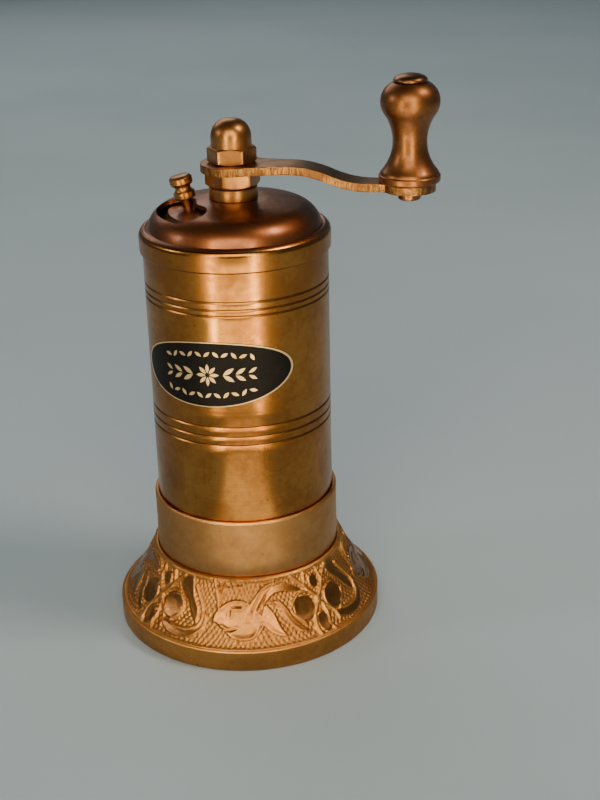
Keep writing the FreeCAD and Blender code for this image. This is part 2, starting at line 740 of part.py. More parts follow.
def make_arm():
    """A bar sheared from plate: round at both ends and tapering between them."""
    low = "arm_top - 2 * arm_thick - arm_drop"
    high = "arm_top + arm_thick"
    points = [
        ("0", "-hub_radius + edge / 2"),
        ("bend_start - 2", "-arm_waist"),
        ("arm_reach - eye_radius", "-arm_tip"),
        ("arm_reach", "-arm_tip"),
        ("arm_reach", "arm_tip"),
        ("arm_reach - eye_radius", "arm_tip"),
        ("hub_radius + 2.5", "arm_waist"),
        ("0", "arm_waist + 2"),
    ]
    plan_body = doc.addObject("PartDesign::Body", "arm_plan")
    pad = plan_body.newObject("PartDesign::Pad", "arm_plan_pad")
    pad.Profile = closed_sketch(plan_body, "XY_Plane", points)
    bind(pad, "Length", "arm_top + arm_thick")
    hub = cylinder("arm_hub", "hub_radius", low, high)
    eye = cylinder("arm_eye", "eye_radius", low, high, "arm_reach")
    blank = shared("arm_blank", arm_side(), fused("arm_outline", [plan_body, hub, eye]))
    half = "square_side / 2"
    square = bar("arm_square", (f"-({half})", f"-({half})", low), (half, half, high))
    hole = cylinder("arm_rivet_hole", "rivet_radius", low, high, "arm_reach")
    made = cut("arm", blank, grouped("arm_cuts", [square, hole]))
    return node(at(made, turn="arm_angle"), "crank_arm")


def make_acorn_nut():
    foot = "arm_top"
    shoulder = "arm_top + acorn_height"
    blank = hexagon("acorn_hex", "acorn_flats", foot, shoulder, "acorn_turn", True, True)
    dome_points = [
        ("0", f"{shoulder} - edge"),
        ("acorn_dome", f"{shoulder} - edge"),
        ("acorn_dome", f"{shoulder} + acorn_neck"),
        ("0", f"{shoulder} + acorn_neck + acorn_dome"),
    ]
    dome = turned("acorn_top", dome_points, {2: "-acorn_dome"})
    bore = cylinder("acorn_bore", "stud_radius", foot, "stud_top + edge")
    return node(cut("acorn", fused("acorn_blank", [blank, dome]), bore), "acorn_nut")


KNOB_FOOT = "arm_top - arm_drop + knob_gap"


def on_knob_axis(target, height):
    """Stand a piece on the crank knob's axis."""
    angle = math.radians(value("arm_angle"))
    reach = value("arm_reach")
    return at(target, reach * math.cos(angle), reach * math.sin(angle), height)


def make_knob():
    """A spool-shaped grip turned from brass: flange, waist and ball."""
    steep = value("waist_height") - value("ball_height")
    reach = math.sqrt((value("ball_radius") + value("waist_radius")) ** 2 - steep ** 2)
    share = value("ball_radius") / (value("ball_radius") + value("waist_radius"))
    turn_point = (f"ball_centre + {reach * share:.4f}", f"ball_height + {steep * share:.4f}")
    shoulder = value("ball_centre - knob_flange + edge / 4") + reach
    foot_rise = value("waist_height") - math.sqrt(value("waist_radius") ** 2 - shoulder ** 2)
    points = [
        ("rivet_radius + fit", "0"),
        ("knob_flange - edge / 2", "0"),
        ("knob_flange", "edge / 2"),
        ("knob_flange", "flange_height"),
        ("knob_flange - edge / 4", f"{foot_rise:.4f}"),
        turn_point,
        ("knob_crown", "knob_height"),
        ("rivet_radius + fit", "knob_height"),
    ]
    bends = {4: "waist_radius", 5: "-ball_radius"}
    return node(on_knob_axis(turned("knob", points, bends), KNOB_FOOT), "crank_knob")


def make_rivet():
    """The pin that the knob turns on, with a domed head above and a closed end below."""
    foot = "-(arm_thick + knob_gap)"
    head = "knob_height + knob_gap"
    points = [
        ("0", f"{foot} - rivet_drop"),
        ("rivet_foot - edge * 1.5", f"{foot} - rivet_drop"),
        ("rivet_foot", f"{foot} - rivet_drop / 2"),
        ("rivet_foot", foot),
        ("rivet_radius", foot),
        ("rivet_radius", head),
        ("rivet_head", head),
        ("rivet_head", f"{head} + edge"),
        ("0", f"{head} + rivet_rise"),
    ]
    bends = {7: "-(rivet_head * rivet_head + (rivet_rise - edge)^2) / 2 / (rivet_rise - edge)"}
    return node(on_knob_axis(turned("rivet", points, bends), KNOB_FOOT), "knob_rivet")


# ---------------------------------------------------------------- grinding set

BURR_TAPER = "(burr_exit - burr_mouth) / (burr_top - burr_foot)"


def groove_bar(name, radius, height, angle):
    """A three-sided cutter that lies along the burrs' slope."""
    made = doc.addObject("Part::Prism", name)
    made.Polygon = 3
    bind(made, "Circumradius", "tooth_size")
    bind(made, "Height", "3 * (burr_top - burr_foot)")
    slope = math.atan(value(BURR_TAPER))
    turn = FreeCAD.Rotation(UP, angle).multiply(FreeCAD.Rotation(Vector(0, 1, 0), -math.degrees(slope)))
    middle = FreeCAD.Rotation(UP, angle).multVec(Vector(value(radius), 0, value(height)))
    along = turn.multVec(UP) * value("1.5 * (burr_top - burr_foot)")
    made.Placement = FreeCAD.Placement(middle - along, turn)
    return made


def make_outer_burr():
    points = [
        ("burr_exit", "burr_foot"),
        ("tube_radius - tube_wall", "burr_foot"),
        ("tube_radius - tube_wall", "burr_top"),
        ("burr_mouth", "burr_top"),
    ]
    grooves = round_the_axis(
        "burr_groove", BURR_GROOVES,
        lambda label, angle: groove_bar(label, "burr_exit", "burr_foot", angle),
    )
    holes = set_screw_pins("burr_hole", "tube_radius - set_depth", "tube_radius + 1")
    holes += bridge_pins("burr_tap", "screw_radius", "burr_foot - 1", "burr_foot + bolt_grip")
    tools = grouped("burr_cuts", grooves + holes)
    return node(cut("outer", turned("outer_blank", points), tools), "outer_burr")


def make_set_screws():
    pins = set_screw_pins("set_screw", "tube_radius - set_depth", "tube_radius - line_depth")
    return node(grouped("set_screws", pins), "burr_set_screws")


def cone_radius(height):
    return f"burr_exit - burr_gap - ({height} - burr_foot) * {BURR_TAPER}"


def make_inner_burr():
    points = [
        ("shaft_radius", "cone_foot"),
        (f"{cone_radius('cone_foot')} - edge", "cone_foot"),
        (cone_radius("(cone_foot + edge)"), "cone_foot + edge"),
        (cone_radius("cone_break"), "cone_break"),
        ("neck_radius", "cone_neck"),
        ("neck_radius", "neck_top"),
        ("shaft_radius", "neck_top"),
    ]
    depth = "burr_exit - burr_gap + tooth_size / 4"
    grooves = round_the_axis(
        "cone_groove", CONE_GROOVES,
        lambda label, angle: groove_bar(label, depth, "burr_foot", angle),
    )
    hole = radial_pin("cone_hole", "pin_radius", "-neck_radius - 1", "neck_radius + 1", "pin_height", 0)
    tools = grouped("cone_cuts", grooves + [hole])
    return node(cut("inner", turned("inner_blank", points), tools), "inner_burr")


def make_burr_pin():
    half = "neck_radius - edge / 2"
    pin = radial_pin("cross_pin", "pin_radius", f"-({half})", half, "pin_height", 0)
    return node(pin, "burr_pin")


def make_spring_washer():
    points = [
        ("shaft_radius", "neck_top"),
        ("washer_radius", "neck_top"),
        ("washer_radius", "neck_top + washer_height"),
        ("shaft_radius", "neck_top + washer_height"),
    ]
    return node(turned("washer", points), "spring_washer")


def make_spring():
    """An open coil between the washer on the cone's neck and the guide spider."""
    foot = "neck_top + washer_height + spring_wire + fit"
    helix = doc.addObject("Part::Helix", "spring_line")
    bind(helix, "Radius", "spring_radius")
    bind(helix, "Pitch", "spring_pitch")
    bind(helix, "Height", f"spider_foot - spring_wire - fit - ({foot})")
    at(helix, height=foot)
    ring = doc.addObject("Part::Circle", "spring_section")
    bind(ring, "Radius", "spring_wire")
    spot = Vector(value("spring_radius"), 0, value(foot))
    ring.Placement = FreeCAD.Placement(spot, FreeCAD.Rotation(Vector(1, 0, 0), 90))
    sweep = doc.addObject("Part::Sweep", "spring")
    sweep.Sections = [ring]
    sweep.Spine = (helix, [])
    sweep.Solid = True
    sweep.Frenet = True
    return node(sweep, "burr_spring")


def make_spider():
    """A pressed disc that guides the shaft; the grain falls through its windows."""
    top = "spider_foot + spider_sheet"
    points = [
        ("shaft_radius + fit", "spider_foot"),
        ("tube_radius - tube_wall", "spider_foot"),
        ("tube_radius - tube_wall", top),
        ("spider_hub", top),
        ("spider_hub - edge", "spider_foot + spider_rise"),
        ("shaft_radius + fit", "spider_foot + spider_rise"),
    ]
    windows = [
        kidney(f"window_{index}", "window_middle", "window_half", "burr_top", "cap_foot",
               f"{360 * index / SPIDER_WINDOWS} - window_reach",
               f"{360 * index / SPIDER_WINDOWS} + window_reach")
        for index in range(SPIDER_WINDOWS)
    ]
    return node(cut("spider", turned("spider_blank", points), grouped("windows", windows)), "guide_spider")


# ---------------------------------------------------------------- adjuster and bridge

def make_thrust_ball():
    ball = doc.addObject("Part::Sphere", "ball")
    bind(ball, "Radius", "ball_size")
    return node(at(ball, height="ball_place"), "thrust_ball")


def make_adjuster():
    """The fineness screw, with a fluted thumb wheel and a cupped tip for the ball."""
    points = [
        ("0", "wheel_foot"),
        ("wheel_radius - edge", "wheel_foot"),
        ("wheel_radius", "wheel_foot + edge"),
        ("wheel_radius", "wheel_top - edge"),
        ("wheel_radius - edge", "wheel_top"),
        ("adjuster_radius", "wheel_top"),
        ("adjuster_radius", "adjuster_tip"),
        ("0", "adjuster_tip"),
    ]
    cup = doc.addObject("Part::Sphere", "adjuster_cup")
    bind(cup, "Radius", "ball_size + fit")
    at(cup, height="ball_place")
    reach = value("flute_place")
    flutes = round_the_axis(
        "flute", WHEEL_FLUTES,
        lambda label, angle: cylinder(
            label, "flute_radius", "wheel_foot - edge", "wheel_top + edge",
            reach * math.cos(math.radians(angle)), reach * math.sin(math.radians(angle))),
    )
    tools = grouped("adjuster_cuts", flutes + [cup])
    return node(cut("adjuster", turned("adjuster_blank", points), tools), "adjuster_screw")


def bridge_pins(name, radius, foot, top):
    return [
        cylinder(f"{name}_{side}", radius, foot, top, f"{sign} * bolt_place")
        for side, sign in (("left", -1), ("right", 1))
    ]


def make_bridge():
    """A strap under the burrs that carries the adjuster."""
    width = ("-bridge_half", "bridge_half")
    top = "bridge_foot + bridge_sheet"
    pieces = [bar("bridge_bar", ("-leg_outer", width[0], "bridge_foot"), ("leg_outer", width[1], top))]
    for side, near, far, out in (("left", "-leg_outer", "-leg_inner", "-foot_outer"),
                                 ("right", "leg_inner", "leg_outer", "foot_outer")):
        low_end = (near, width[0], "bridge_foot")
        high_end = (far, width[1], "burr_foot")
        pieces.append(bar(f"bridge_leg_{side}", low_end, high_end))
        low, high = (out, far) if side == "left" else (near, out)
        pieces.append(bar(
            f"bridge_step_{side}", (low, width[0], "burr_foot - foot_sheet"), (high, width[1], "burr_foot")))
    pieces.append(cylinder("bridge_hub_part", "bridge_hub", "bridge_foot - bridge_drop", top))
    holes = bridge_pins("bridge_hole", "screw_radius", "burr_foot - 3", "burr_foot + 1")
    holes.append(cylinder("bridge_bore", "adjuster_radius + fit", "wheel_top", "burr_foot"))
    return node(cut("bridge", fused("bridge_blank", pieces), grouped("bridge_cuts", holes)), "lower_bridge")


def make_bridge_screws():
    seat = "burr_foot - foot_sheet"
    shanks = bridge_pins("bolt_shank", "screw_radius", seat, "burr_foot + bolt_grip")
    heads = bridge_pins("bolt_cap", "bolt_head", f"{seat} - bolt_head_height", seat)
    bolts = []
    for index, (shank, head, sign) in enumerate(zip(shanks, heads, (-1, 1))):
        centre = value("bolt_place") * sign
        foot = f"{seat} - bolt_head_height"
        low = (f"{centre} - 2 * bolt_head", "-driver_slot / 2", f"{foot} - edge")
        high = (f"{centre} + 2 * bolt_head", "driver_slot / 2", f"{foot} + driver_slot")
        slot = bar(f"bolt_slot_{index}", low, high)
        bolts.append(cut(f"bolt_{index}", fused(f"bolt_blank_{index}", [shank, head]), slot))
    return node(grouped("bolts", bolts), "bridge_screws")


def check_document():
    """Stop with a plain message if anything failed to build."""
    for item in doc.Objects:
        if "Invalid" in item.State or "Error" in item.State:
            raise RuntimeError(f"{item.Name} failed: {item.State}")
    for item in NODES:
        if item.Shape.isNull() or not item.Shape.isValid() or not item.Shape.Solids:
            raise RuntimeError(f"{item.Label} has no valid solid")


def main():
    for make in (
        make_pedestal, make_collar, make_floor_plate, make_tube, make_label,
        make_cap, make_bush, make_spacer, make_lock_nut, make_shutter, make_shutter_knob,
        make_shaft, make_seat_nut, make_arm, make_acorn_nut, make_knob, make_rivet,
        make_outer_burr, make_set_screws, make_inner_burr, make_burr_pin, make_spring_washer,
        make_spring, make_spider, make_thrust_ball, make_adjuster, make_bridge, make_bridge_screws,
    ):
        make()
    doc.recompute()
    check_document()
    os.makedirs("parts", exist_ok=True)
    for item in NODES:
        item.Shape.exportStep(f"parts/{item.Label}.step")
        box = item.Shape.BoundBox
        print(f"{item.Label:18s} solids {len(item.Shape.Solids)} volume {item.Shape.Volume:9.1f}"
              f" z {box.ZMin:7.2f} to {box.ZMax:7.2f}")


main()
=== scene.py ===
"""The look of a brass hand mill on a cast pedestal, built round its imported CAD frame.

Shape code works in millimetres; meshes are stored in metres. Angles are counted from +X,
anticlockwise from above, unless a name says azimuth: that is counted from the front, -Y,
towards +X.
"""

import json
from math import (asin, atan, atan2, copysign, cos, degrees, exp, hypot,
                  log, pi, radians, sin, sqrt, tan)

import bpy
import bmesh
import numpy as np
from mathutils import Matrix, Vector, noise


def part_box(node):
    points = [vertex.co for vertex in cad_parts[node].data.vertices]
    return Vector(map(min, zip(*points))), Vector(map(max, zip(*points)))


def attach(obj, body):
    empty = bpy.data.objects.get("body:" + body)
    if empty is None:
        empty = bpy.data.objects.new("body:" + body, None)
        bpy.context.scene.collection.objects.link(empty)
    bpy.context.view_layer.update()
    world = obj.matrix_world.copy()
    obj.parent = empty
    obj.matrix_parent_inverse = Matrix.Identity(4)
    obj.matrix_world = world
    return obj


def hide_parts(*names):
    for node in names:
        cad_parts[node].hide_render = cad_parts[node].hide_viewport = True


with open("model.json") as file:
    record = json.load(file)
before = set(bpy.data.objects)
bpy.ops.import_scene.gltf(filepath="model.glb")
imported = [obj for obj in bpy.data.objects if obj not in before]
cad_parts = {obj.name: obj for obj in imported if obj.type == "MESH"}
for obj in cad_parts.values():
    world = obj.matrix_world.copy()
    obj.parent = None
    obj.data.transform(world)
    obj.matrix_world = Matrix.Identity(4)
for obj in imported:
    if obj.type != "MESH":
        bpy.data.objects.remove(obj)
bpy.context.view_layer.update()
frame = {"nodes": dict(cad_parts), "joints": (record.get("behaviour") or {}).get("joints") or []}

MM = 0.001
SHARP = radians(32)      # creases sharper than this stay sharp
STRAIGHT = radians(172)  # a corner this flat isn't rounded
ON_AXIS = 1e-6           # millimetres from the axis that count as none


# ---------------- measures from the frame

def extent(node):
    """Foot, top and radius of a CAD node, in millimetres."""
    low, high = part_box(node)
    return {"foot": low.z / MM, "top": high.z / MM, "radius": (high.y - low.y) / 2 / MM}


def joint(name):
    return next(item for item in frame["joints"] if item["name"] == name)


PEDESTAL = extent("pedestal_base")
COLLAR = extent("socket_collar")
TUBE = extent("body_tube")
CAP = extent("dome_cap")
KNOB = extent("crank_knob")
RIVET = extent("knob_rivet")
SEAT_NUT = extent("seat_nut")
ACORN = extent("acorn_nut")
ARM = extent("crank_arm")
BUSH = extent("top_bush")
KNOB_AXIS = tuple(value / MM for value in joint("knob_spin")["pos_m"][:2])
ON_KNOB_AXIS = Matrix.Translation((*KNOB_AXIS, 0))
ARM_REACH = hypot(*KNOB_AXIS)
ARM_ANGLE = degrees(atan2(KNOB_AXIS[1], KNOB_AXIS[0]))


# ---------------- mesh helpers

def placed(name, data):
    """A new object in the scene."""
    made = bpy.data.objects.new(name, data)
    bpy.context.scene.collection.objects.link(made)
    return made


def finished(name, mesh, body, replaced, looks, sharp=SHARP):
    """Make an object of a mesh, shade it, hang it on its body and hide the CAD parts it replaces.
    """
    mesh.validate()
    piece = placed(name, mesh)
    for key in looks:
        mesh.materials.append(MATERIALS[key])
    mesh.shade_smooth()
    mesh.set_sharp_from_angle(angle=sharp)
    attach(piece, body)
    if replaced:
        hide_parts(*replaced)
    return piece


def mesh_of(name, vertices, faces):
    """A mesh in metres from vertices in millimetres, its faces turned outwards."""
    mesh = bpy.data.meshes.new(name)
    mesh.from_pydata([tuple(c * MM for c in vertex) for vertex in vertices], [], faces)
    work = bmesh.new()
    work.from_mesh(mesh)
    bmesh.ops.recalc_face_normals(work, faces=work.faces)
    work.to_mesh(mesh)
    work.free()
    return mesh


def around(radius, turn, height):
    """A point at a distance from the axis; the turn is in radians."""
    return (radius * cos(turn), radius * sin(turn), height)


def arc(centre, radius, start, end, steps):
    """Points along an arc; angles in degrees."""
    return [
        (centre[0] + radius * cos(radians(start + (end - start) * step / steps)),
         centre[1] + radius * sin(radians(start + (end - start) * step / steps)))
        for step in range(steps + 1)
    ]


def bulge(first, last, radius, steps):
    """Points on an arc from first to last; a positive radius bulges to the left of the way."""
    a, b = Vector(first), Vector(last)
    chord = b - a
    half = chord.length / 2
    left = Vector((-chord.y, chord.x)).normalized()
    reach = sqrt(max(radius * radius - half * half, 0))
    centre = (a + b) / 2 - left * copysign(reach, radius)
    begin = atan2(a.y - centre.y, a.x - centre.x)
    sweep = 2 * asin(min(half / abs(radius), 1)) * (-1 if radius > 0 else 1)
    return [
        (centre.x + abs(radius) * cos(begin + sweep * step / steps),
         centre.y + abs(radius) * sin(begin + sweep * step / steps))
        for step in range(steps + 1)
    ]


def softened(points, radius, steps=3):
    """A closed outline with every corner rounded; a point may carry its own radius."""
    rounded = []
    count = len(points)
    for index, point in enumerate(points):
        here = Vector(point[:2])
        size = point[2] if len(point) > 2 else radius
        before = Vector(points[index - 1][:2]) - here
        after = Vector(points[(index + 1) % count][:2]) - here
        turn = before.angle(after) if size > 0 and here.x >= ON_AXIS else pi
        if turn > STRAIGHT:
            rounded.append(tuple(here))
            continue
        reach = min(size / tan(turn / 2), before.length * 0.45, after.length * 0.45)
        start = here + before.normalized() * reach
        end = here + after.normalized() * reach
        for step in range(steps + 1):
            share = step / steps
            rounded.append(tuple(
                start * (1 - share) ** 2 + here * 2 * share * (1 - share) + end * share ** 2))
    return rounded


def lathe(name, outline, segments=192, placing=None):
    """A closed outline of (radius, height) turned about the Z axis, then placed."""
    vertices = []
    rings = []
    for radius, height in outline:
        if radius < ON_AXIS:
            rings.append([len(vertices)] * segments)
            vertices.append((0, 0, height))
            continue
        rings.append(list(range(len(vertices), len(vertices) + segments)))
        vertices += [around(radius, 2 * pi * segment / segments, height)
                     for segment in range(segments)]
    faces = []
    for index, ring in enumerate(rings):
        above = rings[(index + 1) % len(rings)]
        if ring[0] == ring[1] and above[0] == above[1]:
            continue
        for segment in range(segments):
            following = (segment + 1) % segments
            corners = [ring[segment], ring[following], above[following], above[segment]]
            face = list(dict.fromkeys(corners))
            if len(face) > 2:
                faces.append(face)
    if placing is not None:
        vertices = [tuple(placing @ Vector(vertex)) for vertex in vertices]
    return mesh_of(name, vertices, faces)


def ring_faces(rows, segments, closed=True):
    """Quads between rings of points that are stored one ring after another."""
    faces = []
    for row in range(rows if closed else rows - 1):
        above = (row + 1) % rows
        for segment in range(segments):
            following = (segment + 1) % segments
            faces.append([row * segments + segment, row * segments + following,
                          above * segments + following, above * segments + segment])
    return faces


def cut_by(piece, cutters):
    """Take some closed meshes out of a piece."""
    for cutter in cutters:
        tool = placed("cutter", cutter)
        step = piece.modifiers.new("cut", "BOOLEAN")
        step.operation = "DIFFERENCE"
        step.solver = "EXACT"
        step.object = tool
        settled = bpy.data.meshes.new_from_object(
            piece.evaluated_get(bpy.context.evaluated_depsgraph_get()))
        piece.modifiers.clear()
        piece.data = settled
        bpy.data.objects.remove(tool)
    piece.data.shade_smooth()
    piece.data.set_sharp_from_angle(angle=SHARP)


def prism(name, outline, foot, top):
    """An upright prism on a closed plan outline."""
    count = len(outline)
    vertices = [(x, y, foot) for x, y in outline] + [(x, y, top) for x, y in outline]
    faces = [[(i + 1) % count, i, i + count, (i + 1) % count + count] for i in range(count)]
    faces += [list(range(count)), list(range(2 * count - 1, count - 1, -1))]
    return mesh_of(name, vertices, faces)


# ---------------- node helpers

class Finish:
    """One procedural material; its methods add nodes and return their output sockets."""

    def __init__(self, name):
        self.material = bpy.data.materials.new(name)
        self.material.use_nodes = True
        self.tree = self.material.node_tree
        self.shader = self.tree.nodes["Principled BSDF"]
        place = self.node("ShaderNodeTexCoord").outputs["Object"]
        self.place = self.node("ShaderNodeVectorMath", {0: place, "Scale": 1 / MM},
                               operation="SCALE").outputs[0]

    def node(self, kind, inputs=None, **settings):
        """A new node; its inputs get links or plain values, by name or by number."""
        made = self.tree.nodes.new(kind)
        for key, value in settings.items():
            setattr(made, key, value)
        for key, value in (inputs or {}).items():
            self.put(value, made.inputs[key])
        return made

    def put(self, source, target):
        """Link a socket, or set a plain value; a plain colour gets its alpha here."""
        if isinstance(source, bpy.types.NodeSocket):
            self.tree.links.new(source, target)
        else:
            target.default_value = (*source, 1.0) if target.type == "RGBA" else source

    def calc(self, operation, first, second=0.0, third=0.0):
        return self.node("ShaderNodeMath", {0: first, 1: second, 2: third},
                         operation=operation).outputs[0]

    def ramp(self, value, factor, start):
        """Start plus factor times the value."""
        return self.calc("MULTIPLY_ADD", value, factor, start)

    def stretched(self, scale, shift=(0, 0, 0)):
        """The place in millimetres, moved and scaled per axis."""
        return self.node("ShaderNodeMapping", {
            "Location": shift, "Scale": scale, "Vector": self.place}).outputs[0]

    def cloud(self, size, detail=4, roughness=0.55, bend=0.0, vector=None):
        """Noise whose features are about size millimetres across."""
        return self.node("ShaderNodeTexNoise", {
            "Scale": 1 / size, "Detail": detail, "Roughness": roughness, "Distortion": bend,
            "Vector": vector or self.place}).outputs["Fac"]

    def cells(self, size, vector):
        """Distance to scattered points about size millimetres apart."""
        return self.node("ShaderNodeTexVoronoi", {
            "Scale": 1 / size, "Vector": vector}).outputs["Distance"]

    def band(self, value, low, high, start=0.0, end=1.0):
        """Value mapped smoothly from low..high to start..end."""
        return self.node("ShaderNodeMapRange", {
            "Value": value, "From Min": low, "From Max": high, "To Min": start, "To Max": end,
        }, interpolation_type="SMOOTHSTEP").outputs[0]

    def blend(self, share, first, second):
        return self.node("ShaderNodeMix", {0: share, 6: first, 7: second},
                         data_type="RGBA").outputs[2]

    def ridges(self, centre, pitch, slope):
        """Lathe marks round an upright axis: noise that depends on height and radius alone."""
        flat = self.node("ShaderNodeVectorMath", {0: self.place, 1: (*centre, 0)},
                         operation="SUBTRACT").outputs[0]
        across, back, height = self.node("ShaderNodeSeparateXYZ", {0: flat}).outputs
        squares = self.calc("ADD", self.calc("POWER", across, 2), self.calc("POWER", back, 2))
        return self.node("ShaderNodeTexNoise", {
            "Scale": 1 / pitch, "Detail": 5, "Roughness": 0.75,
            "W": self.ramp(self.calc("SQRT", squares), slope, height),
        }, noise_dimensions="1D").outputs["Fac"]

    def bump(self, height, depth, under=None):
        """A bump from a 0..1 height; depth is in millimetres."""
        inputs = {"Strength": 1.0, "Distance": depth * MM, "Height": height}
        if under is not None:
            inputs["Normal"] = under
        return self.node("ShaderNodeBump", inputs).outputs["Normal"]

    def stored(self, name):
        """A number that a mesh keeps at its points."""
        return self.node("ShaderNodeAttribute", attribute_name=name).outputs["Fac"]

    def tangent(self):
        """Stretch highlights round the upright axis."""
        made = self.node("ShaderNodeTangent", direction_type="RADIAL", axis="Z")
        self.put(made.outputs[0], self.shader.inputs["Tangent"])

    def set(self, **values):
        names = {"colour": "Base Color", "roughness": "Roughness", "metallic": "Metallic",
                 "normal": "Normal", "anisotropy": "Anisotropic", "coat": "Coat Weight",
                 "coat_roughness": "Coat Roughness", "specular": "Specular IOR Level"}
        for key, value in values.items():
            self.put(value, self.shader.inputs[names[key]])
        return self.material


# ---------------- materials

def turned_metal(name, bright, dull, stain, rough, centre=(0, 0), line_depth=0.004,
                 line_pitch=0.5, anisotropy=0.0, patch=14.0, spots=0.5, slope=1.0, seed=0.0,
                 coat=0.0):
    """Brass off a lathe: fine rings, cloudy tarnish, brown stains and a few dark pits."""
    finish = Finish(name)
    shifted = finish.stretched((1, 1, 1), (seed, seed * 0.7, seed * 1.3))
    wide = finish.cloud(patch, 5, 0.6, 0.6, shifted)
    fine = finish.cloud(patch / 9, 6, 0.65, 0.2, shifted)
    mottle = finish.ramp(fine, 0.35, finish.calc("MULTIPLY", wide, 0.75))
    rings = finish.ridges(centre, line_pitch, slope)
    colour = finish.blend(finish.band(mottle, 0.42, 0.68), bright, dull)
    ring_tint = finish.band(rings, 0.35, 0.7, 0.0, 0.28)
    colour = finish.blend(ring_tint, colour, dull)
    blots = finish.cloud(patch * 0.45, 7, 0.7, 1.2, finish.stretched((1, 1, 0.6), (seed + 9, 3, 5)))
    colour = finish.blend(finish.band(blots, 0.60, 0.74, 0.0, spots), colour, stain)
    pits = finish.cells(2.6, shifted)
    pit = finish.band(pits, 0.05, 0.13, 1.0, 0.0)
    pit = finish.calc("MULTIPLY", pit, finish.band(fine, 0.5, 0.62))
    colour = finish.blend(finish.calc("MULTIPLY", pit, 0.8), colour, stain)
    gloss = finish.ramp(finish.band(mottle, 0.35, 0.75), rough[1] - rough[0], rough[0])
    gloss = finish.ramp(finish.band(blots, 0.58, 0.75), 0.14, gloss)
    normal = finish.bump(rings, line_depth)
    normal = finish.bump(finish.calc("SUBTRACT", fine, pit), line_depth * 1.5, normal)
    if anisotropy:
        finish.tangent()
    return finish.set(colour=colour, roughness=gloss, metallic=1.0, normal=normal,
                      anisotropy=anisotropy, coat=coat, coat_roughness=0.14)


def cast_metal():
    """The pedestal: matt golden ground; smooth ribbons painted darker, a painted dark reflection;
    brown in the hollows.
    """
    finish = Finish("cast_brass")
    smooth = finish.stored("smooth")
    depth = finish.stored("depth")
    wide = finish.cloud(16, 5, 0.6, 0.5)
    fine = finish.cloud(1.1, 6, 0.7)
    grit = finish.cloud(0.35, 3, 0.6)
    golden = finish.blend(
        finish.band(wide, 0.4, 0.65), (0.50, 0.24, 0.068), (0.38, 0.165, 0.045))
    # painted dark reflection: the smooth ribbons get a darker, mottled brass than the ground,
    # standing for the dark room they mirror
    mottled = finish.blend(
        finish.band(fine, 0.35, 0.7), (0.36, 0.155, 0.042), (0.25, 0.098, 0.028))
    colour = finish.blend(smooth, golden, mottled)
    hollow = finish.calc("MULTIPLY", finish.band(depth, 0.15, 0.75), 0.72)
    colour = finish.blend(hollow, colour, (0.15, 0.055, 0.018))
    fleck = finish.band(grit, 0.62, 0.75, 0.0, 0.35)
    colour = finish.blend(fleck, colour, (0.70, 0.42, 0.16))
    rough = finish.ramp(smooth, -0.20, 0.44)
    rough = finish.ramp(fine, 0.12, rough)
    normal = finish.bump(finish.ramp(grit, 0.4, fine), 0.035)
    return finish.set(colour=colour, roughness=rough, metallic=1.0, normal=normal)


def sheared_edge():
    """The arm's sides: torn, bright and rough."""
    finish = Finish("arm_edge_brass")
    tear = finish.cloud(0.55, 6, 0.7, 0.5, finish.stretched((1, 1, 0.22)))
    grit = finish.cloud(0.3, 4, 0.7)
    patch = finish.cloud(5, 4, 0.6)
    colour = finish.blend(finish.band(tear, 0.40, 0.60), (0.13, 0.05, 0.016), (0.46, 0.235, 0.08))
    colour = finish.blend(finish.band(patch, 0.42, 0.66, 0.0, 0.75), colour, (0.15, 0.06, 0.02))
    rough = finish.ramp(grit, 0.25, 0.26)
    normal = finish.bump(finish.ramp(grit, 0.3, tear), 0.16)
    return finish.set(colour=colour, roughness=rough, metallic=1.0, normal=normal)


def steel(name, light, dark, rust, rough, grain=(1, 1, 1)):
    """Plain steel with oil-dark patches and a little rust."""
    finish = Finish(name)
    patch = finish.cloud(4, 5, 0.6, 0.4)
    fine = finish.cloud(0.4, 5, 0.7, 0.0, finish.stretched(grain))
    colour = finish.blend(finish.band(patch, 0.38, 0.66), light, dark)
    rusty = finish.band(finish.cloud(2.2, 7, 0.75, 0.8), 0.58, 0.72, 0, 0.6)
    colour = finish.blend(rusty, colour, rust)
    gloss = finish.ramp(fine, 0.22, rough)
    return finish.set(colour=colour, roughness=gloss, metallic=1.0, normal=finish.bump(fine, 0.01))


def printed(name, ink, faded, rough, metallic, specular=0.5):
    """Label ink, slightly scuffed."""
    finish = Finish(name)
    scuff = finish.cloud(3.5, 7, 0.75, 0.8)
    grain = finish.cloud(0.5, 4, 0.6)
    colour = finish.blend(finish.band(scuff, 0.5, 0.74, 0.0, 0.5), ink, faded)
    gloss = finish.ramp(scuff, 0.2, rough)
    return finish.set(colour=colour, roughness=gloss, metallic=metallic,
                      specular=specular, normal=finish.bump(grain, 0.006))


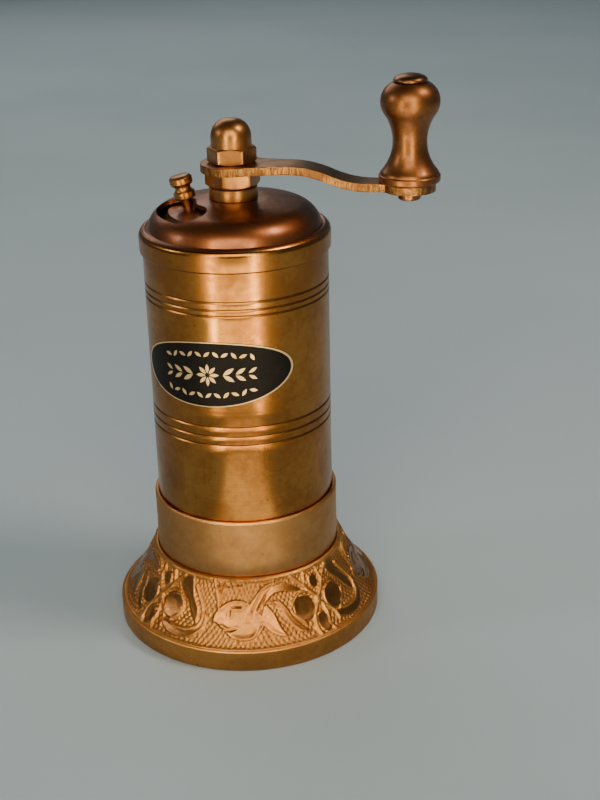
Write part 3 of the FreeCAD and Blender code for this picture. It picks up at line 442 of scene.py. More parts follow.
# bright, dull and stained colour, roughness from and to, and what else differs
TURNED = {
    "rim": (
        (0.48, 0.225, 0.06), (0.34, 0.15, 0.04), (0.15, 0.055, 0.018), (0.36, 0.46),
        dict(line_depth=0.012, line_pitch=0.7, anisotropy=0.6, patch=18, seed=4)),
    "satin": (
        (0.47, 0.235, 0.080), (0.34, 0.160, 0.052), (0.18, 0.08, 0.028), (0.30, 0.40),
        dict(line_depth=0.014, line_pitch=0.4, anisotropy=0.85, patch=22, spots=0.3,
             seed=11)),
    "tube": (
        (0.41, 0.180, 0.042), (0.26, 0.098, 0.022), (0.08, 0.025, 0.007), (0.13, 0.24),
        dict(line_depth=0.005, line_pitch=0.6, anisotropy=0.85, patch=20, spots=0.75,
             seed=2)),
    # the cap brass is redder, as the dome's own metal is, and also painted much darker: painted
    # shade for the dark room the dome mirrors; it also dresses the shutter plate and the filler
    # knob's shank
    "cap": (
        (0.27, 0.095, 0.034), (0.17, 0.055, 0.020), (0.07, 0.023, 0.009), (0.32, 0.44),
        dict(line_depth=0.005, line_pitch=0.8, patch=12, spots=0.5, seed=23, coat=0.22)),
    "turned": (
        (0.42, 0.19, 0.055), (0.27, 0.11, 0.032), (0.12, 0.04, 0.015), (0.30, 0.42),
        dict(line_depth=0.005, line_pitch=0.5, patch=6, spots=0.6, seed=31, coat=0.10)),
    "knob": (
        (0.31, 0.125, 0.040), (0.20, 0.075, 0.025), (0.10, 0.034, 0.012), (0.34, 0.44),
        dict(centre=KNOB_AXIS, line_depth=0.004, line_pitch=0.6, patch=8, spots=0.55,
             seed=41, coat=0.12)),
    "rivet": (
        (0.30, 0.13, 0.055), (0.17, 0.07, 0.03), (0.08, 0.03, 0.015), (0.26, 0.40),
        dict(centre=KNOB_AXIS, patch=4, spots=0.6, seed=47)),
    "arm": (
        (0.34, 0.16, 0.06), (0.20, 0.085, 0.035), (0.10, 0.04, 0.018), (0.28, 0.44),
        dict(line_depth=0.008, line_pitch=1.1, slope=0.3, patch=7, spots=0.6, seed=53)),
}


def make_materials():
    """Every finish of the mill, by name."""
    finishes = {key: turned_metal(key + "_brass", *looks, **more)
                for key, (*looks, more) in TURNED.items()}
    finishes.update({
        "cast": cast_metal(),
        "arm_edge": sheared_edge(),
        "steel": steel("spring_steel", (0.56, 0.55, 0.53), (0.30, 0.29, 0.28),
                       (0.20, 0.09, 0.04), 0.22),
        "burr": steel("burr_steel", (0.34, 0.33, 0.32), (0.16, 0.155, 0.15),
                      (0.16, 0.07, 0.03), 0.34, (1, 1, 0.2)),
        "ink": printed("label_ink", (0.008, 0.006, 0.005), (0.030, 0.020, 0.013), 0.40, 0.0, 0.12),
        "gilt": printed("label_gilt", (0.78, 0.55, 0.28), (0.50, 0.30, 0.13), 0.36, 0.8),
    })
    return finishes


MATERIALS = make_materials()


# ---------------- relief of the pedestal

PERIOD = 90.0          # degrees from one flower to the next
FLOWER_AZIMUTH = 37.0
DEGREE = 0.59          # millimetres to a degree, half-way up the cone
SLANT = 19.8           # millimetres up the cone
COLUMNS = 216
RELIEF_ROWS = 84
RIM_TOP, CONE_TOP = 6.7, 23.3


def smoothstep(value, low, high):
    share = np.clip((value - low) / (high - low), 0, 1)
    return share * share * (3 - 2 * share)


def curve(points, steps=14):
    """A smooth line through (degrees, share of the slope, width) points, in millimetres."""
    knots = [np.array((x * DEGREE, y * SLANT) + tuple(rest)) for x, y, *rest in points]
    knots = [2 * knots[0] - knots[1]] + knots + [2 * knots[-1] - knots[-2]]
    line = []
    for index in range(1, len(knots) - 2):
        before, here, there, after = knots[index - 1:index + 3]
        for step in range(steps):
            share = step / steps
            line.append(0.5 * (
                2 * here + (there - before) * share
                + (2 * before - 5 * here + 4 * there - after) * share ** 2
                + (3 * here - before - 3 * there + after) * share ** 3))
    line.append(knots[-2])
    return np.array(line)


def reach_to(across, up, line):
    """Distance from each grid point to a line, less the line's own half width there."""
    nearest = np.full(across.shape, 1e9)
    for point in line:
        width = point[2] if len(point) > 2 else 0.0
        nearest = np.minimum(nearest, np.hypot(across - point[0], up - point[1]) - width)
    return nearest


def oval(across, up, centre, size, lean=0.0):
    """Signed distance to an oval, nearly; centre and size in degrees and share of the slope."""
    x = across - centre[0] * DEGREE
    y = up - centre[1] * SLANT
    turn = radians(lean)
    along = x * cos(turn) + y * sin(turn)
    aside = -x * sin(turn) + y * cos(turn)
    half = (size[0] * DEGREE, size[1] * SLANT)
    scale = np.hypot(along / half[0], aside / half[1])
    return (scale - 1) * min(half)


def relief_period():
    """Height in millimetres and smoothness of one flower with its two scrolls.

    Columns run from 45 degrees left of the flower to 45 degrees right of it.
    """
    columns = (np.arange(COLUMNS) / COLUMNS - 0.5) * PERIOD
    across, up = np.meshgrid(columns * DEGREE, np.linspace(0, SLANT, RELIEF_ROWS + 1))
    side = np.abs(across)
    plates = []
    ridges = []

    def plate(grid, points, dish, soft):
        """A smooth leaf along a line, dished by dish, with an edge soft millimetres wide."""
        plates.append((reach_to(grid, up, curve(points)), dish, soft))

    def ridge(grid, points, width, rise):
        ridges.append((reach_to(grid, up, curve(points)), width, rise))

    # the flower: side petals, lower and upper petal, bud
    plates.append((oval(side, up, (9.6, 0.475), (6.1, 0.205), -14), 0.16, 0.42))
    plates.append((oval(across, up, (-1.8, 0.19), (3.3, 0.165), 4), 0.10, 0.3))
    plates.append((oval(across, up, (0.2, 0.80), (3.0, 0.11)), 0.08, 0.25))
    bud = oval(across, up, (-0.3, 0.52), (1.5, 0.06))
    rim = [(2.2, 0.61), (5.0, 0.69), (10.5, 0.70), (15.6, 0.56), (15.6, 0.41), (10.8, 0.255)]
    ridge(side, rim, 0.34, 0.24)
    ridge(across, [(-1.8, 0.46), (-5.2, 0.30), (-6.0, 0.15), (-5.2, 0.03)], 0.5, 0.34)
    ridge(across, [(1.4, 0.46), (2.0, 0.28), (1.2, 0.12), (2.6, 0.02)], 0.42, 0.30)
    ridge(across, [(2.4, 0.42), (6.4, 0.27), (7.2, 0.12)], 0.40, 0.30)
    # forked stems above the flower
    ridge(side, [(1.0, 0.58), (4.0, 0.68), (6.6, 0.80)], 0.50, 0.34)
    ridge(side, [(6.2, 0.77), (5.4, 0.86), (4.6, 0.97)], 0.40, 0.30)
    ridge(side, [(6.6, 0.79), (9.6, 0.88), (13.0, 0.97)], 0.46, 0.32)

    # the scroll: a leaf tapering from the top and a crescent that hooks round below it
    leaf = [
        (15.2, 0.99, 2.5), (16.0, 0.86, 2.4), (19.4, 0.68, 1.55), (23.2, 0.50, 1.45),
        (25.0, 0.34, 0.45)]
    plate(across, leaf, 0.14, 0.4)
    crescent = [
        (29.2, 0.55, 0.15), (29.6, 0.42, 0.55), (28.0, 0.28, 0.9), (23.0, 0.155, 1.15),
        (16.0, 0.125, 1.3), (10.0, 0.17, 1.15), (6.8, 0.23, 0.35)]
    plate(across, crescent, 0.12, 0.35)
    lip = [
        (21.5, 0.86), (24.6, 0.70), (27.2, 0.56), (28.0, 0.44), (26.6, 0.31), (22.0, 0.215),
        (16.0, 0.20), (10.5, 0.255)]
    ridge(across, lip, 0.36, 0.34)

    # between the flowers: a round leaf, a stem that arches to the right and two hanging leaves,
    # drawn from the middle of the gap
    gap = (columns % PERIOD) - PERIOD / 2
    away = np.broadcast_to(gap * DEGREE, across.shape)
    hooked = [
        (-11.0, 0.40, 0.5), (-7.0, 0.47, 2.6), (0.0, 0.47, 5.2), (4.0, 0.40, 5.4),
        (8.5, 0.38, 3.4)]
    plate(away, hooked, 0.16, 0.45)
    stem = [(6.0, 0.46, 1.5), (10.0, 0.66, 1.5), (15.0, 0.83, 1.25), (21.0, 0.93, 0.7)]
    plate(away, stem, 0.06, 0.4)
    arch = [
        (15.0, 0.66, 0.4), (19.0, 0.80, 1.0), (25.0, 0.85, 1.35), (31.5, 0.80, 1.0),
        (36.5, 0.72, 0.2)]
    plate(away, arch, 0.10, 0.35)
    hanging = [
        (15.5, 0.60, 0.8), (16.5, 0.44, 2.3), (18.6, 0.30, 1.9), (21.5, 0.205, 1.1),
        (24.5, 0.14, 0.15)]
    plate(away, hanging, 0.14, 0.4)
    outer = [
        (18.5, 0.665, 0.3), (22.5, 0.635, 0.8), (25.6, 0.50, 1.05), (27.6, 0.35, 1.1),
        (31.0, 0.21, 0.9), (35.0, 0.13, 0.2)]
    plate(away, outer, 0.10, 0.3)
    ridge(away, [(-9.0, 0.58), (-10.6, 0.78), (-12.6, 0.96)], 0.42, 0.26)
    ridge(away, [(-9.6, 0.66), (-7.6, 0.80), (-6.0, 0.95)], 0.36, 0.24)
    ridge(away, [(-11.0, 0.80), (-9.4, 0.88), (-9.0, 0.96)], 0.28, 0.20)
    cuts = [
        [(-3.2, 0.50), (-2.2, 0.605), (3.0, 0.62)],
        [(-7.0, 0.315), (-3.6, 0.275), (0.2, 0.305)],
        [(8.0, 0.55), (11.4, 0.72), (15.6, 0.86), (21.2, 0.93)],
        [(12.4, 0.36), (11.2, 0.26), (9.0, 0.17)],
        [(-5.0, 0.905), (-1.5, 0.92), (3.0, 0.93)],
    ]

    # the ground: hatched both ways, so that it stands up in small bricks
    first = np.sin((across + up * 0.62) * pi / 1.5 + 0.6 * np.sin(up * 0.9))
    second = np.sin((across - up * 0.55) * pi / 1.3 + 0.6 * np.sin(across * 0.8))
    height = -0.95 + 0.34 * np.sqrt(np.abs(first)) + 0.30 * np.sqrt(np.abs(second))
    smooth = np.zeros_like(height)
    for distance, dish, soft in plates:
        inside = smoothstep(-distance, -0.12, soft)
        level = 0.02 - dish * smoothstep(-distance, 0.2, 2.2)
        height = height * (1 - inside) + level * inside
        smooth = np.maximum(smooth, smoothstep(-distance, -0.05, 0.25))
    above_bud = up - 0.50 * SLANT
    crease = np.abs(np.sin(np.arctan2(above_bud, side) * 9))
    near = smoothstep(3.6 - np.hypot(side, above_bud * 0.8), 0, 2.2)
    height -= 0.16 * near * (1 - crease) * smooth
    for distance, width, rise in ridges:
        crown = np.exp(-(distance / width) ** 2)
        height = height + (rise - height) * crown * 0.92
        smooth = smooth * (1 - 0.75 * crown)
    height = np.where(bud < 0.3, np.maximum(height, 0.36 * smoothstep(-bud, -0.3, 0.5)), height)
    for points in cuts:
        distance = reach_to(away, up, curve(points))
        height = height - 0.24 * np.exp(-(distance / 0.22) ** 2)
        height += 0.10 * np.exp(-((distance - 0.55) / 0.4) ** 2)
    return height, smooth


def weathered(azimuth, slope):
    """Slow change round the casting, so that no two flowers are the same."""
    return noise.noise(Vector(around(2.2, radians(azimuth), slope * 1.4)))


def make_pedestal():
    """The cast foot: plain rim, relief cone, lip and the hollow inside."""
    rim = PEDESTAL["radius"]
    height, smooth = relief_period()
    cone = bulge((39.0, RIM_TOP), (28.6, CONE_TOP), 52.0, RELIEF_ROWS)
    inside = softened([
        (28.15, 23.62, 0.15), (27.9, 23.8, 0.1), (27.4, 23.8, 0.1), (27.2, 23.2, 0.05),
        (27.2, 23.0, 0), (26.0, 23.0, 0), (26.0, 26.0, 0.1), (23.8, 26.0, 0.3), (23.8, 21.0, 0.5),
        (35.3, 4.5, 1.0), (35.3, 1.2, 0), (36.5, 1.2, 0), (36.5, 0.0, 0), (rim - 0.5, 0.0, 0.3),
        (rim, 0.5, 0.3), (rim, RIM_TOP - 0.55, 0.2), (rim - 0.42, RIM_TOP - 0.05, 0.15),
        (39.05, RIM_TOP - 0.18, 0.0),
    ], 0.1, 2)
    segments = 4 * COLUMNS
    azimuths = [FLOWER_AZIMUTH + (index / COLUMNS - 0.5) * PERIOD for index in range(segments)]
    turns = [radians(azimuth - 90) for azimuth in azimuths]
    vertices = []
    levels = []
    polish = []
    for row, (radius, rise) in enumerate(cone):
        share = row / RELIEF_ROWS
        fade = min(1.0, min(share, 1 - share) / 0.045)
        before = Vector(cone[max(row - 1, 0)])
        after = Vector(cone[min(row + 1, RELIEF_ROWS)])
        along = (after - before).normalized()
        outward = Vector((along.y, -along.x))
        for segment, turn in enumerate(turns):
            column = segment % COLUMNS
            mottled = weathered(azimuths[segment], share)
            level = height[row][column] * fade
            level = min(level, 0.26 + 0.1 * mottled) + 0.05 * mottled * fade
            vertices.append(around(radius + outward.x * level, turn, rise + outward.y * level))
            levels.append(max(0.0, -level))
            polish.append(float(smooth[row][column] * fade))
    for radius, rise in inside:
        vertices += [around(radius, turn, rise) for turn in turns]
        levels += [0.0] * segments
        polish += [1.0] * segments
    faces = ring_faces(len(cone) + len(inside), segments)
    mesh = bpy.data.meshes.new("pedestal_cast")
    mesh.from_pydata([tuple(c * MM for c in vertex) for vertex in vertices], [], faces)
    for name, numbers in (("depth", levels), ("smooth", polish)):
        mesh.attributes.new(name, "FLOAT", "POINT").data.foreach_set("value", numbers)
    relief_faces = RELIEF_ROWS * segments
    mesh.polygons.foreach_set(
        "material_index", [int(index >= relief_faces) for index in range(len(faces))])
    finished("pedestal_cast", mesh, "base", ["pedestal_base"],
             ["cast", "rim"], radians(60))


# ---------------- collar and tube

def make_collar():
    """The satin ring; a shallow bead at its top edge, chamfers inside."""
    outer, foot, top = COLLAR["radius"], COLLAR["foot"], COLLAR["top"]
    inner = 26.08
    outline = softened([
        (inner, foot, 0.05), (outer, foot, 0.1), (outer, foot + 6.0, 0),
        (outer - 0.02, foot + 12.0, 0), (outer, top - 0.62, 0.2), (outer - 0.35, top, 0.12),
        (inner + 0.12, top, 0.08), (inner, top - 0.3, 0.05),
    ], 0.1, 4)
    finished("collar_ring", lathe("collar_ring", outline, 256), "base",
             ["socket_collar"], ["satin"])


TUBE_LINES = (64.8, 67.4, 70.25, 102.7, 104.4, 106.55)
LINE_DEPTH, LINE_HALF = 0.28, 0.38
SCREW_HOLES = {"angles": (30, 150, 270), "height": 36.0, "radius": 1.52}


def make_tube():
    """The body tube with its turned lines; its skin is very slightly uneven."""
    outer, foot, top = TUBE["radius"], TUBE["foot"], TUBE["top"]
    inner = outer - 0.9
    points = [(inner, foot, 0.1), (outer, foot, 0.15)]
    heights = [foot + 3 * step for step in range(1, int((top - foot) / 3))]
    for stop in sorted(heights + list(TUBE_LINES)):
        if stop in TUBE_LINES:
            points += [(outer, stop - LINE_HALF, 0.08), (outer - LINE_DEPTH, stop, 0.1),
                       (outer, stop + LINE_HALF, 0.08)]
        elif min(abs(stop - line) for line in TUBE_LINES) > 1.0:
            points.append((outer, stop, 0))
    points += [(outer, top, 0.15), (inner, top, 0.1)]
    mesh = lathe("tube_skin", softened(points, 0.1, 2), 256)
    for vertex in mesh.vertices:
        place = vertex.co
        if hypot(place.x, place.y) / MM > outer - 0.5:
            dent = 0.5 + 0.5 * noise.noise(Vector((place.x, place.y, place.z * 0.6)) * 90)
            shrink = 1 - 0.028 * dent / outer
            place.x *= shrink
            place.y *= shrink
    piece = finished("tube_skin", mesh, "mill_body", ["body_tube"], ["tube"])
    drills = []
    radius = SCREW_HOLES["radius"]
    for angle in SCREW_HOLES["angles"]:
        turn = radians(angle)
        axis = Matrix.Translation(around(outer, turn, SCREW_HOLES["height"]))
        axis = axis @ Matrix.Rotation(turn, 4, "Z") @ Matrix.Rotation(pi / 2, 4, "Y")
        drills.append(lathe("drill", [(0, -2), (radius, -2), (radius, 2), (0, 2)], 32, axis))
    cut_by(piece, drills)


# ---------------- label

LABEL = {"angle": 249.5, "height": 85.9, "half_length": 24.6, "half_height": 9.55, "slope": 0.044}
INK_THICKNESS, GILT_TOP = 0.14, 0.165
LEAF_ROW = (21.0, 6.0)   # half length and half height of the oval the leaves stand on


def on_label(along, rise, lift):
    """A point of the label's skin from its own flat coordinates."""
    turn = radians(LABEL["angle"]) + along / TUBE["radius"]
    return around(TUBE["radius"] + lift, turn, LABEL["height"] + rise + LABEL["slope"] * along)


def make_label():
    """A black oval with a thin gilt line inside its edge."""
    line_start, line_end = 0.962, 0.992
    shares = [step / 10 for step in range(10)] + [line_start, line_end]
    rims = [(share, INK_THICKNESS) for share in shares[1:]] + [(1.0, INK_THICKNESS - 0.04)]
    rims += [(step / 10, 0.0) for step in range(10, 0, -1)]
    steps = 120
    vertices = [on_label(0, 0, INK_THICKNESS)]
    for share, lift in rims:
        for step in range(steps):
            turn = 2 * pi * step / steps
            vertices.append(on_label(LABEL["half_length"] * share * cos(turn),
                                     LABEL["half_height"] * share * sin(turn), lift))
    vertices.append(on_label(0, 0, 0.0))
    faces = [[0, 1 + step, 1 + (step + 1) % steps] for step in range(steps)]
    faces += [[1 + corner for corner in face] for face in ring_faces(len(rims), steps, False)]
    last = len(vertices) - 1
    start = last - steps
    faces += [[last, start + (step + 1) % steps, start + step] for step in range(steps)]
    mesh = mesh_of("label_skin", vertices, faces)
    ring = shares.index(line_start)
    mesh.polygons.foreach_set(
        "material_index", [int(index // steps == ring) for index in range(len(faces))])
    finished("label_skin", mesh, "mill_body", ["oval_label"], ["ink", "gilt"])


def tile(vertices, faces, outline):
    """Add one thin gilt tile, given its outline in the label's coordinates."""
    start = len(vertices)
    count = len(outline)
    for lift in (INK_THICKNESS - 0.005, GILT_TOP):
        vertices += [on_label(x, y, lift) for x, y in outline]
    faces += [[start + corner for corner in face] for face in ring_faces(2, count, False)]
    faces.append([start + i for i in reversed(range(count))])
    faces.append([start + count + i for i in range(count)])


def leaf_outline(centre, angle, length, width):
    """A pointed leaf: two arcs that meet at its ends."""
    turn = radians(angle)
    points = []
    for sign in (1, -1):
        for step in range(6):
            share = step / 6 if sign > 0 else 1 - step / 6
            along = (share - 0.5) * length
            aside = sign * width / 2 * sin(pi * share)
            points.append((centre[0] + along * cos(turn) - aside * sin(turn),
                           centre[1] + along * sin(turn) + aside * cos(turn)))
    return points


def make_label_ornament():
    """A plain ornament for the label: a rosette, leaf scrolls and two bowed rows of leaves."""
    vertices = []
    faces = []
    for index in range(8):
        angle = 45 * index
        spot = (1.9 * cos(radians(angle)), 1.9 * sin(radians(angle)))
        tile(vertices, faces, leaf_outline(spot, angle, 2.7, 1.0))
    for side in (-1, 1):
        for index, (length, width) in enumerate(((3.6, 1.25), (3.2, 1.1), (2.6, 0.9))):
            x = side * (5.9 + 3.3 * index)
            for lift in (-1, 1):
                tile(vertices, faces, leaf_outline((x, lift), side * lift * 32, length, width))
    half_length, half_height = LEAF_ROW
    for sign in (1, -1):
        for index in range(-5, 6):
            x = index * 2.5
            rise = sign * half_height * sqrt(1 - (x / half_length) ** 2)
            angle = -sign * degrees(atan2(x * half_height, half_length ** 2 * 0.8)) * 2
            tile(vertices, faces, leaf_outline((x, rise), angle + 38 * (-1) ** index, 2.3, 0.95))
    mesh = mesh_of("label_ornament", vertices, faces)
    finished("label_ornament", mesh, "mill_body", [], ["gilt"])


# ---------------- cap

CROWN_RADIUS = 85.0
CROWN_TOP = 129.0
GROOVE = 24.3            # radius of the groove between bead and shoulder
BUSH_SEAT, BUSH_HOLE = 9.0, 5.45
SLOT = {"middle": 16.3, "half": 5.1, "start": 178.0, "end": 221.0}


def crown(radius, depth=0.0):
    """Height of the dome's sphere at a distance from the axis."""
    return CROWN_TOP - CROWN_RADIUS + sqrt((CROWN_RADIUS - depth) ** 2 - radius ** 2)


def make_cap():
    """The domed cap: skirt, rolled bead, groove, shoulder and crown, with the filler slot."""
    outer, foot = CAP["radius"], CAP["foot"]
    edge, shoulder, sheet = 18.5, 7.7, 1.2
    across = edge * (1 - shoulder / CROWN_RADIUS)
    rise = CROWN_TOP - CROWN_RADIUS
    rise += (CROWN_RADIUS - shoulder) * sqrt(1 - (edge / CROWN_RADIUS) ** 2)

    def on_shoulder(radius, depth=0.0):
        return rise + sqrt((shoulder - depth) ** 2 - (radius - across) ** 2)

    outline = softened([
        (26.05, foot, 0.05), (outer - 0.4, foot, 0.1), (outer, foot + 0.4, 0.2),
        (outer, foot + 3.4, 0), (outer, 118.6, 0),
    ], 0.1, 3)
    outline += bulge((outer, 118.8), (25.2, 121.2), -2.4, 8)
    outline += [(24.85, 121.16), (24.62, 121.0), (24.5, 120.98), (24.38, 121.05)]
    for step in range(13):
        radius = GROOVE + (edge - GROOVE) * step / 12
        outline.append((radius, on_shoulder(radius)))
    for step in range(1, 13):
        radius = edge + (BUSH_SEAT - edge) * step / 12
        outline.append((radius, crown(radius)))
    seat = crown(BUSH_SEAT)
    outline += [(BUSH_HOLE, seat), (BUSH_HOLE, seat - sheet), (BUSH_SEAT, seat - sheet)]
    inner_edge = edge * (1 - sheet / CROWN_RADIUS)
    for step in range(1, 13):
        radius = BUSH_SEAT + (inner_edge - BUSH_SEAT) * step / 12
        outline.append((radius, crown(radius, sheet)))
    for step in range(1, 9):
        radius = inner_edge + (GROOVE - sheet - inner_edge) * step / 8
        outline.append((radius, on_shoulder(radius, sheet)))
    outline += [(GROOVE - sheet, 120.6), (25.1, 119.4), (26.05, 119.4)]
    mesh = lathe("cap_dome", outline, 256)
    piece = finished("cap_dome", mesh, "mill_body", ["dome_cap"], ["cap", "tube"])
    # the skirt takes the tube's brass; the dome keeps the cap brass, which is painted darker as
    # painted shade over its own redder tone
    for face in piece.data.polygons:
        spot = face.center / MM
        if hypot(spot.x, spot.y) > 25.6 and spot.z < 120.6:
            face.material_index = 1
    middle, half, start, end = (SLOT[key] for key in ("middle", "half", "start", "end"))
    ring = arc((0, 0), middle + half, start, end, 24)
    ring += arc(around(middle, radians(end), 0), half, end, end + 180, 16)[1:-1]
    ring += arc((0, 0), middle - half, end, start, 24)
    ring += arc(around(middle, radians(start), 0), half, start + 180, start + 360, 16)[1:-1]
    cut_by(piece, [prism("slot", ring, 119.8, 132.0)])


# ---------------- bush, nuts and shutter knob

def make_bush():
    """The threaded bush with its turned boss."""
    outer, foot, top = BUSH["radius"], BUSH["foot"], BUSH["top"]
    seat = crown(BUSH_SEAT)
    outline = [(4.05, foot, 0.05), (4.9, foot, 0.1)]
    height = foot + 0.4
    while height < seat - 3.2:
        outline += [(5.4, height, 0.08), (5.02, height + 0.35, 0.08)]
        height += 0.75
    outline += [(5.4, height, 0.1), (5.4, seat, 0), (outer - 0.15, seat, 0.1),
                (outer, seat + 0.25, 0.1), (outer - 0.05, seat + 1.7, 0.1),
                (outer - 0.05, top - 0.3, 0.1), (outer - 0.3, top, 0.1), (4.05, top, 0.1)]
    finished("bush_boss", lathe("bush_boss", softened(outline, 0.1, 2), 128), "mill_body",
             ["top_bush"], ["turned"])


def hex_nut(name, flats, foot, top, turn, high_cone, bore):
    """A hexagon with rounded corners, turned off by a cone at its foot or at both ends."""
    segments = 6 * 20
    count = 22
    cut, cone_slope, rounding = 0.12, 1.75, 14
    levels = [foot + (top - foot) * (1 - cos(pi * step / count)) / 2
              for step in range(count + 1)]
    spins = [radians(360 * segment / segments + 30 + turn) for segment in range(segments)]
    vertices = []
    for level in levels:
        limit = min(flats / 2 / cos(radians(30)) - cut,
                    flats / 2 - cut + (level - foot) * cone_slope)
        if high_cone:
            limit = min(limit, flats / 2 - cut + (top - level) * cone_slope)
        for segment, spin in enumerate(spins):
            from_flat = (360 * segment / segments + 30) % 60 - 30
            side = flats / 2 / cos(radians(from_flat))
            radius = -log(exp(-side * rounding) + exp(-limit * rounding)) / rounding
            vertices.append(around(radius, spin, level))
    for level in (top, foot):
        vertices += [around(bore, spin, level) for spin in spins]
    return mesh_of(name, vertices, ring_faces(len(levels) + 2, segments))


def make_seat_nut():
    mesh = hex_nut("seat_hexagon", 13.5, SEAT_NUT["foot"], SEAT_NUT["top"], 8.5, False, 4.0)
    finished("seat_hexagon", mesh, "rotor", ["seat_nut"], ["turned"], radians(24))


def make_acorn_nut():
    """Acorn nut: hexagon, a fine neck and the dome."""
    foot = ACORN["foot"]
    shoulder = foot + 4.4
    mesh = hex_nut("acorn_hexagon", 12.0, foot, shoulder, -4.5, True, 2.9)
    finished("acorn_hexagon", mesh, "rotor", ["acorn_nut"],
             ["turned"], radians(24))
    dome = 5.6
    neck = shoulder + 1.9
    outline = softened([(0, shoulder - 0.4), (dome, shoulder - 0.4, 0),
                        (dome, shoulder + 0.05, 0.05), (dome - 0.05, neck, 0)], 0.05, 2)
    outline += [(dome * cos(a) ** 0.86, neck + (ACORN["top"] - neck) * sin(a) ** 0.86)
                for a in np.linspace(0, pi / 2, 24)[1:]]
    outline[-1] = (0, ACORN["top"])
    finished("acorn_dome", lathe("acorn_dome", outline, 128), "rotor", [],
             ["turned"])


def make_shutter_knob():
    """The little filler knob, leaning outwards, with its shank through the slot."""
    angle, lean, place = radians(174.5), radians(11.5), 13.2
    foot = Vector(around(place, angle, crown(place)))
    side = Vector((-sin(angle), cos(angle), 0))
    placing = Matrix.Translation(foot) @ Matrix.Rotation(lean, 4, side)
    outline = softened([
        (0, -3.2), (1.8, -3.2, 0.2), (2.3, -2.6, 0.1), (1.35, -2.57, 0.05), (1.35, 0.55, 0.05),
        (2.8, 0.55, 0.15), (2.98, 0.8, 0.15), (2.98, 2.35, 0.15), (2.45, 2.75, 0.2),
        (2.2, 3.2, 0.3), (2.2, 3.9, 0.3), (3.0, 4.5, 0.2), (3.2, 4.9, 0.2), (3.2, 6.3, 0.3),
        (2.6, 6.95, 0.4), (1.2, 7.2, 0.3), (0, 7.2),
    ], 0.1, 3)
    piece = finished("filler_knob", lathe("filler_knob", outline, 96, placing), "shutter",
                     ["shutter_knob"], ["turned", "cap"])
    along = placing.to_3x3() @ Vector((0, 0, 1))
    for face in piece.data.polygons:
        if (face.center / MM - foot).dot(along) < 0.5:
            face.material_index = 1


# ---------------- crank

ARM_THICKNESS = 2.35
HUB, EYE = 8.7, 7.1      # radii of the arm's round ends


def arm_line(distance):
    """Height of the arm's middle and its slope at a distance from the shaft."""
    top = ARM["top"] - ARM_THICKNESS / 2
    drop, start, length = 4.4, 16.0, 22.0
    turn = 2 * atan(drop / length)
    radius = length / 2 / sin(turn)
    if distance <= start:
        return top, 0.0
    if distance >= start + length:
        return top - drop, 0.0
    if distance <= start + length / 2:
        bend = asin((distance - start) / radius)
        return top - radius * (1 - cos(bend)), -bend
    bend = asin((start + length - distance) / radius)
    return top - drop + radius * (1 - cos(bend)), -bend


def arm_width(distance, side):
    """Half width of the arm's plan; the hub is fuller on one side."""
    widths = []
    if distance < HUB:
        widths.append(sqrt(max(HUB ** 2 - distance ** 2, 0)))
    if abs(distance - ARM_REACH) < EYE:
        widths.append(sqrt(max(EYE ** 2 - (distance - ARM_REACH) ** 2, 0)))
    if 0 <= distance <= ARM_REACH:
        neck, fullness = (14, 8.45) if side < 0 else (11.2, 6.6)
        widths.append(float(np.interp(
            distance, (0, neck, ARM_REACH - EYE, ARM_REACH), (fullness, 4.6, 3.6, 3.6))))
    return max(widths) if widths else 0.0


def make_arm():
    """The cranked bar, sheared from plate: smooth faces, torn sides, softened edges."""
    quarter = [pi / 2 * step / 16 for step in range(17)]
    stations = [-HUB * cos(turn) for turn in quarter]
    stations += [0.45 * step for step in range(1, int((ARM_REACH + 1) / 0.45))]
    stations += [ARM_REACH + EYE * sin(turn) for turn in quarter[1:]]
    stations = sorted(set(round(station, 4) for station in stations))
    half = ARM_THICKNESS / 2
    rounds = 0.22
    rise = [(-half, rounds), (-half + 0.06, 0.07), (-half + 0.28, 0), (-half * 0.5, 0), (0, 0),
            (half * 0.5, 0), (half - 0.22, 0), (half - 0.06, 0.07), (half, rounds)]
    vertices = []
    for station in stations:
        middle, slope = arm_line(station)
        ring = []
        for side in (1, -1):
            width = side * max(arm_width(station, side), 0.02)
            near, far = 0.35 * width, 0.75 * width
            points = [(near, -half, False), (far, -half, False)]
            points += [(width - side * cut, height, abs(height) < half - 0.05)
                       for height, cut in rise]
            points += [(far, half, False), (near, half, False)]
            ring += points[::side]
        for aside, height, torn in ring:
            if torn:
                spot = Vector((station * 1.3, aside * 0.2, height * 0.7)) + Vector((3, 8, 1))
                wobble = 0.16 * noise.noise(spot) - 0.05
                wobble += 0.07 * noise.noise(Vector((station * 4.1, aside, height * 1.1)))
                aside += copysign(wobble, aside)
            vertices.append((station - height * sin(slope), aside,
                             middle + height * cos(slope)))
    ring_size = len(ring)
    faces = ring_faces(len(stations), ring_size, False)
    places = [min(index, ring_size - 1 - index) for index in range(ring_size)]
    edges = [int(3 <= place <= ring_size // 2 - 5) for place in places] * (len(stations) - 1)
    last = (len(stations) - 1) * ring_size
    faces.append(list(range(ring_size)))
    faces.append([last + index for index in reversed(range(ring_size))])
    edges += [1, 1]
    turn = Matrix.Rotation(radians(ARM_ANGLE), 4, "Z")
    vertices = [tuple(turn @ Vector(vertex)) for vertex in vertices]
    mesh = mesh_of("arm_bar", vertices, faces)
    mesh.polygons.foreach_set("material_index", edges)
    finished("arm_bar", mesh, "rotor", ["crank_arm"],
             ["arm", "arm_edge"], radians(50))


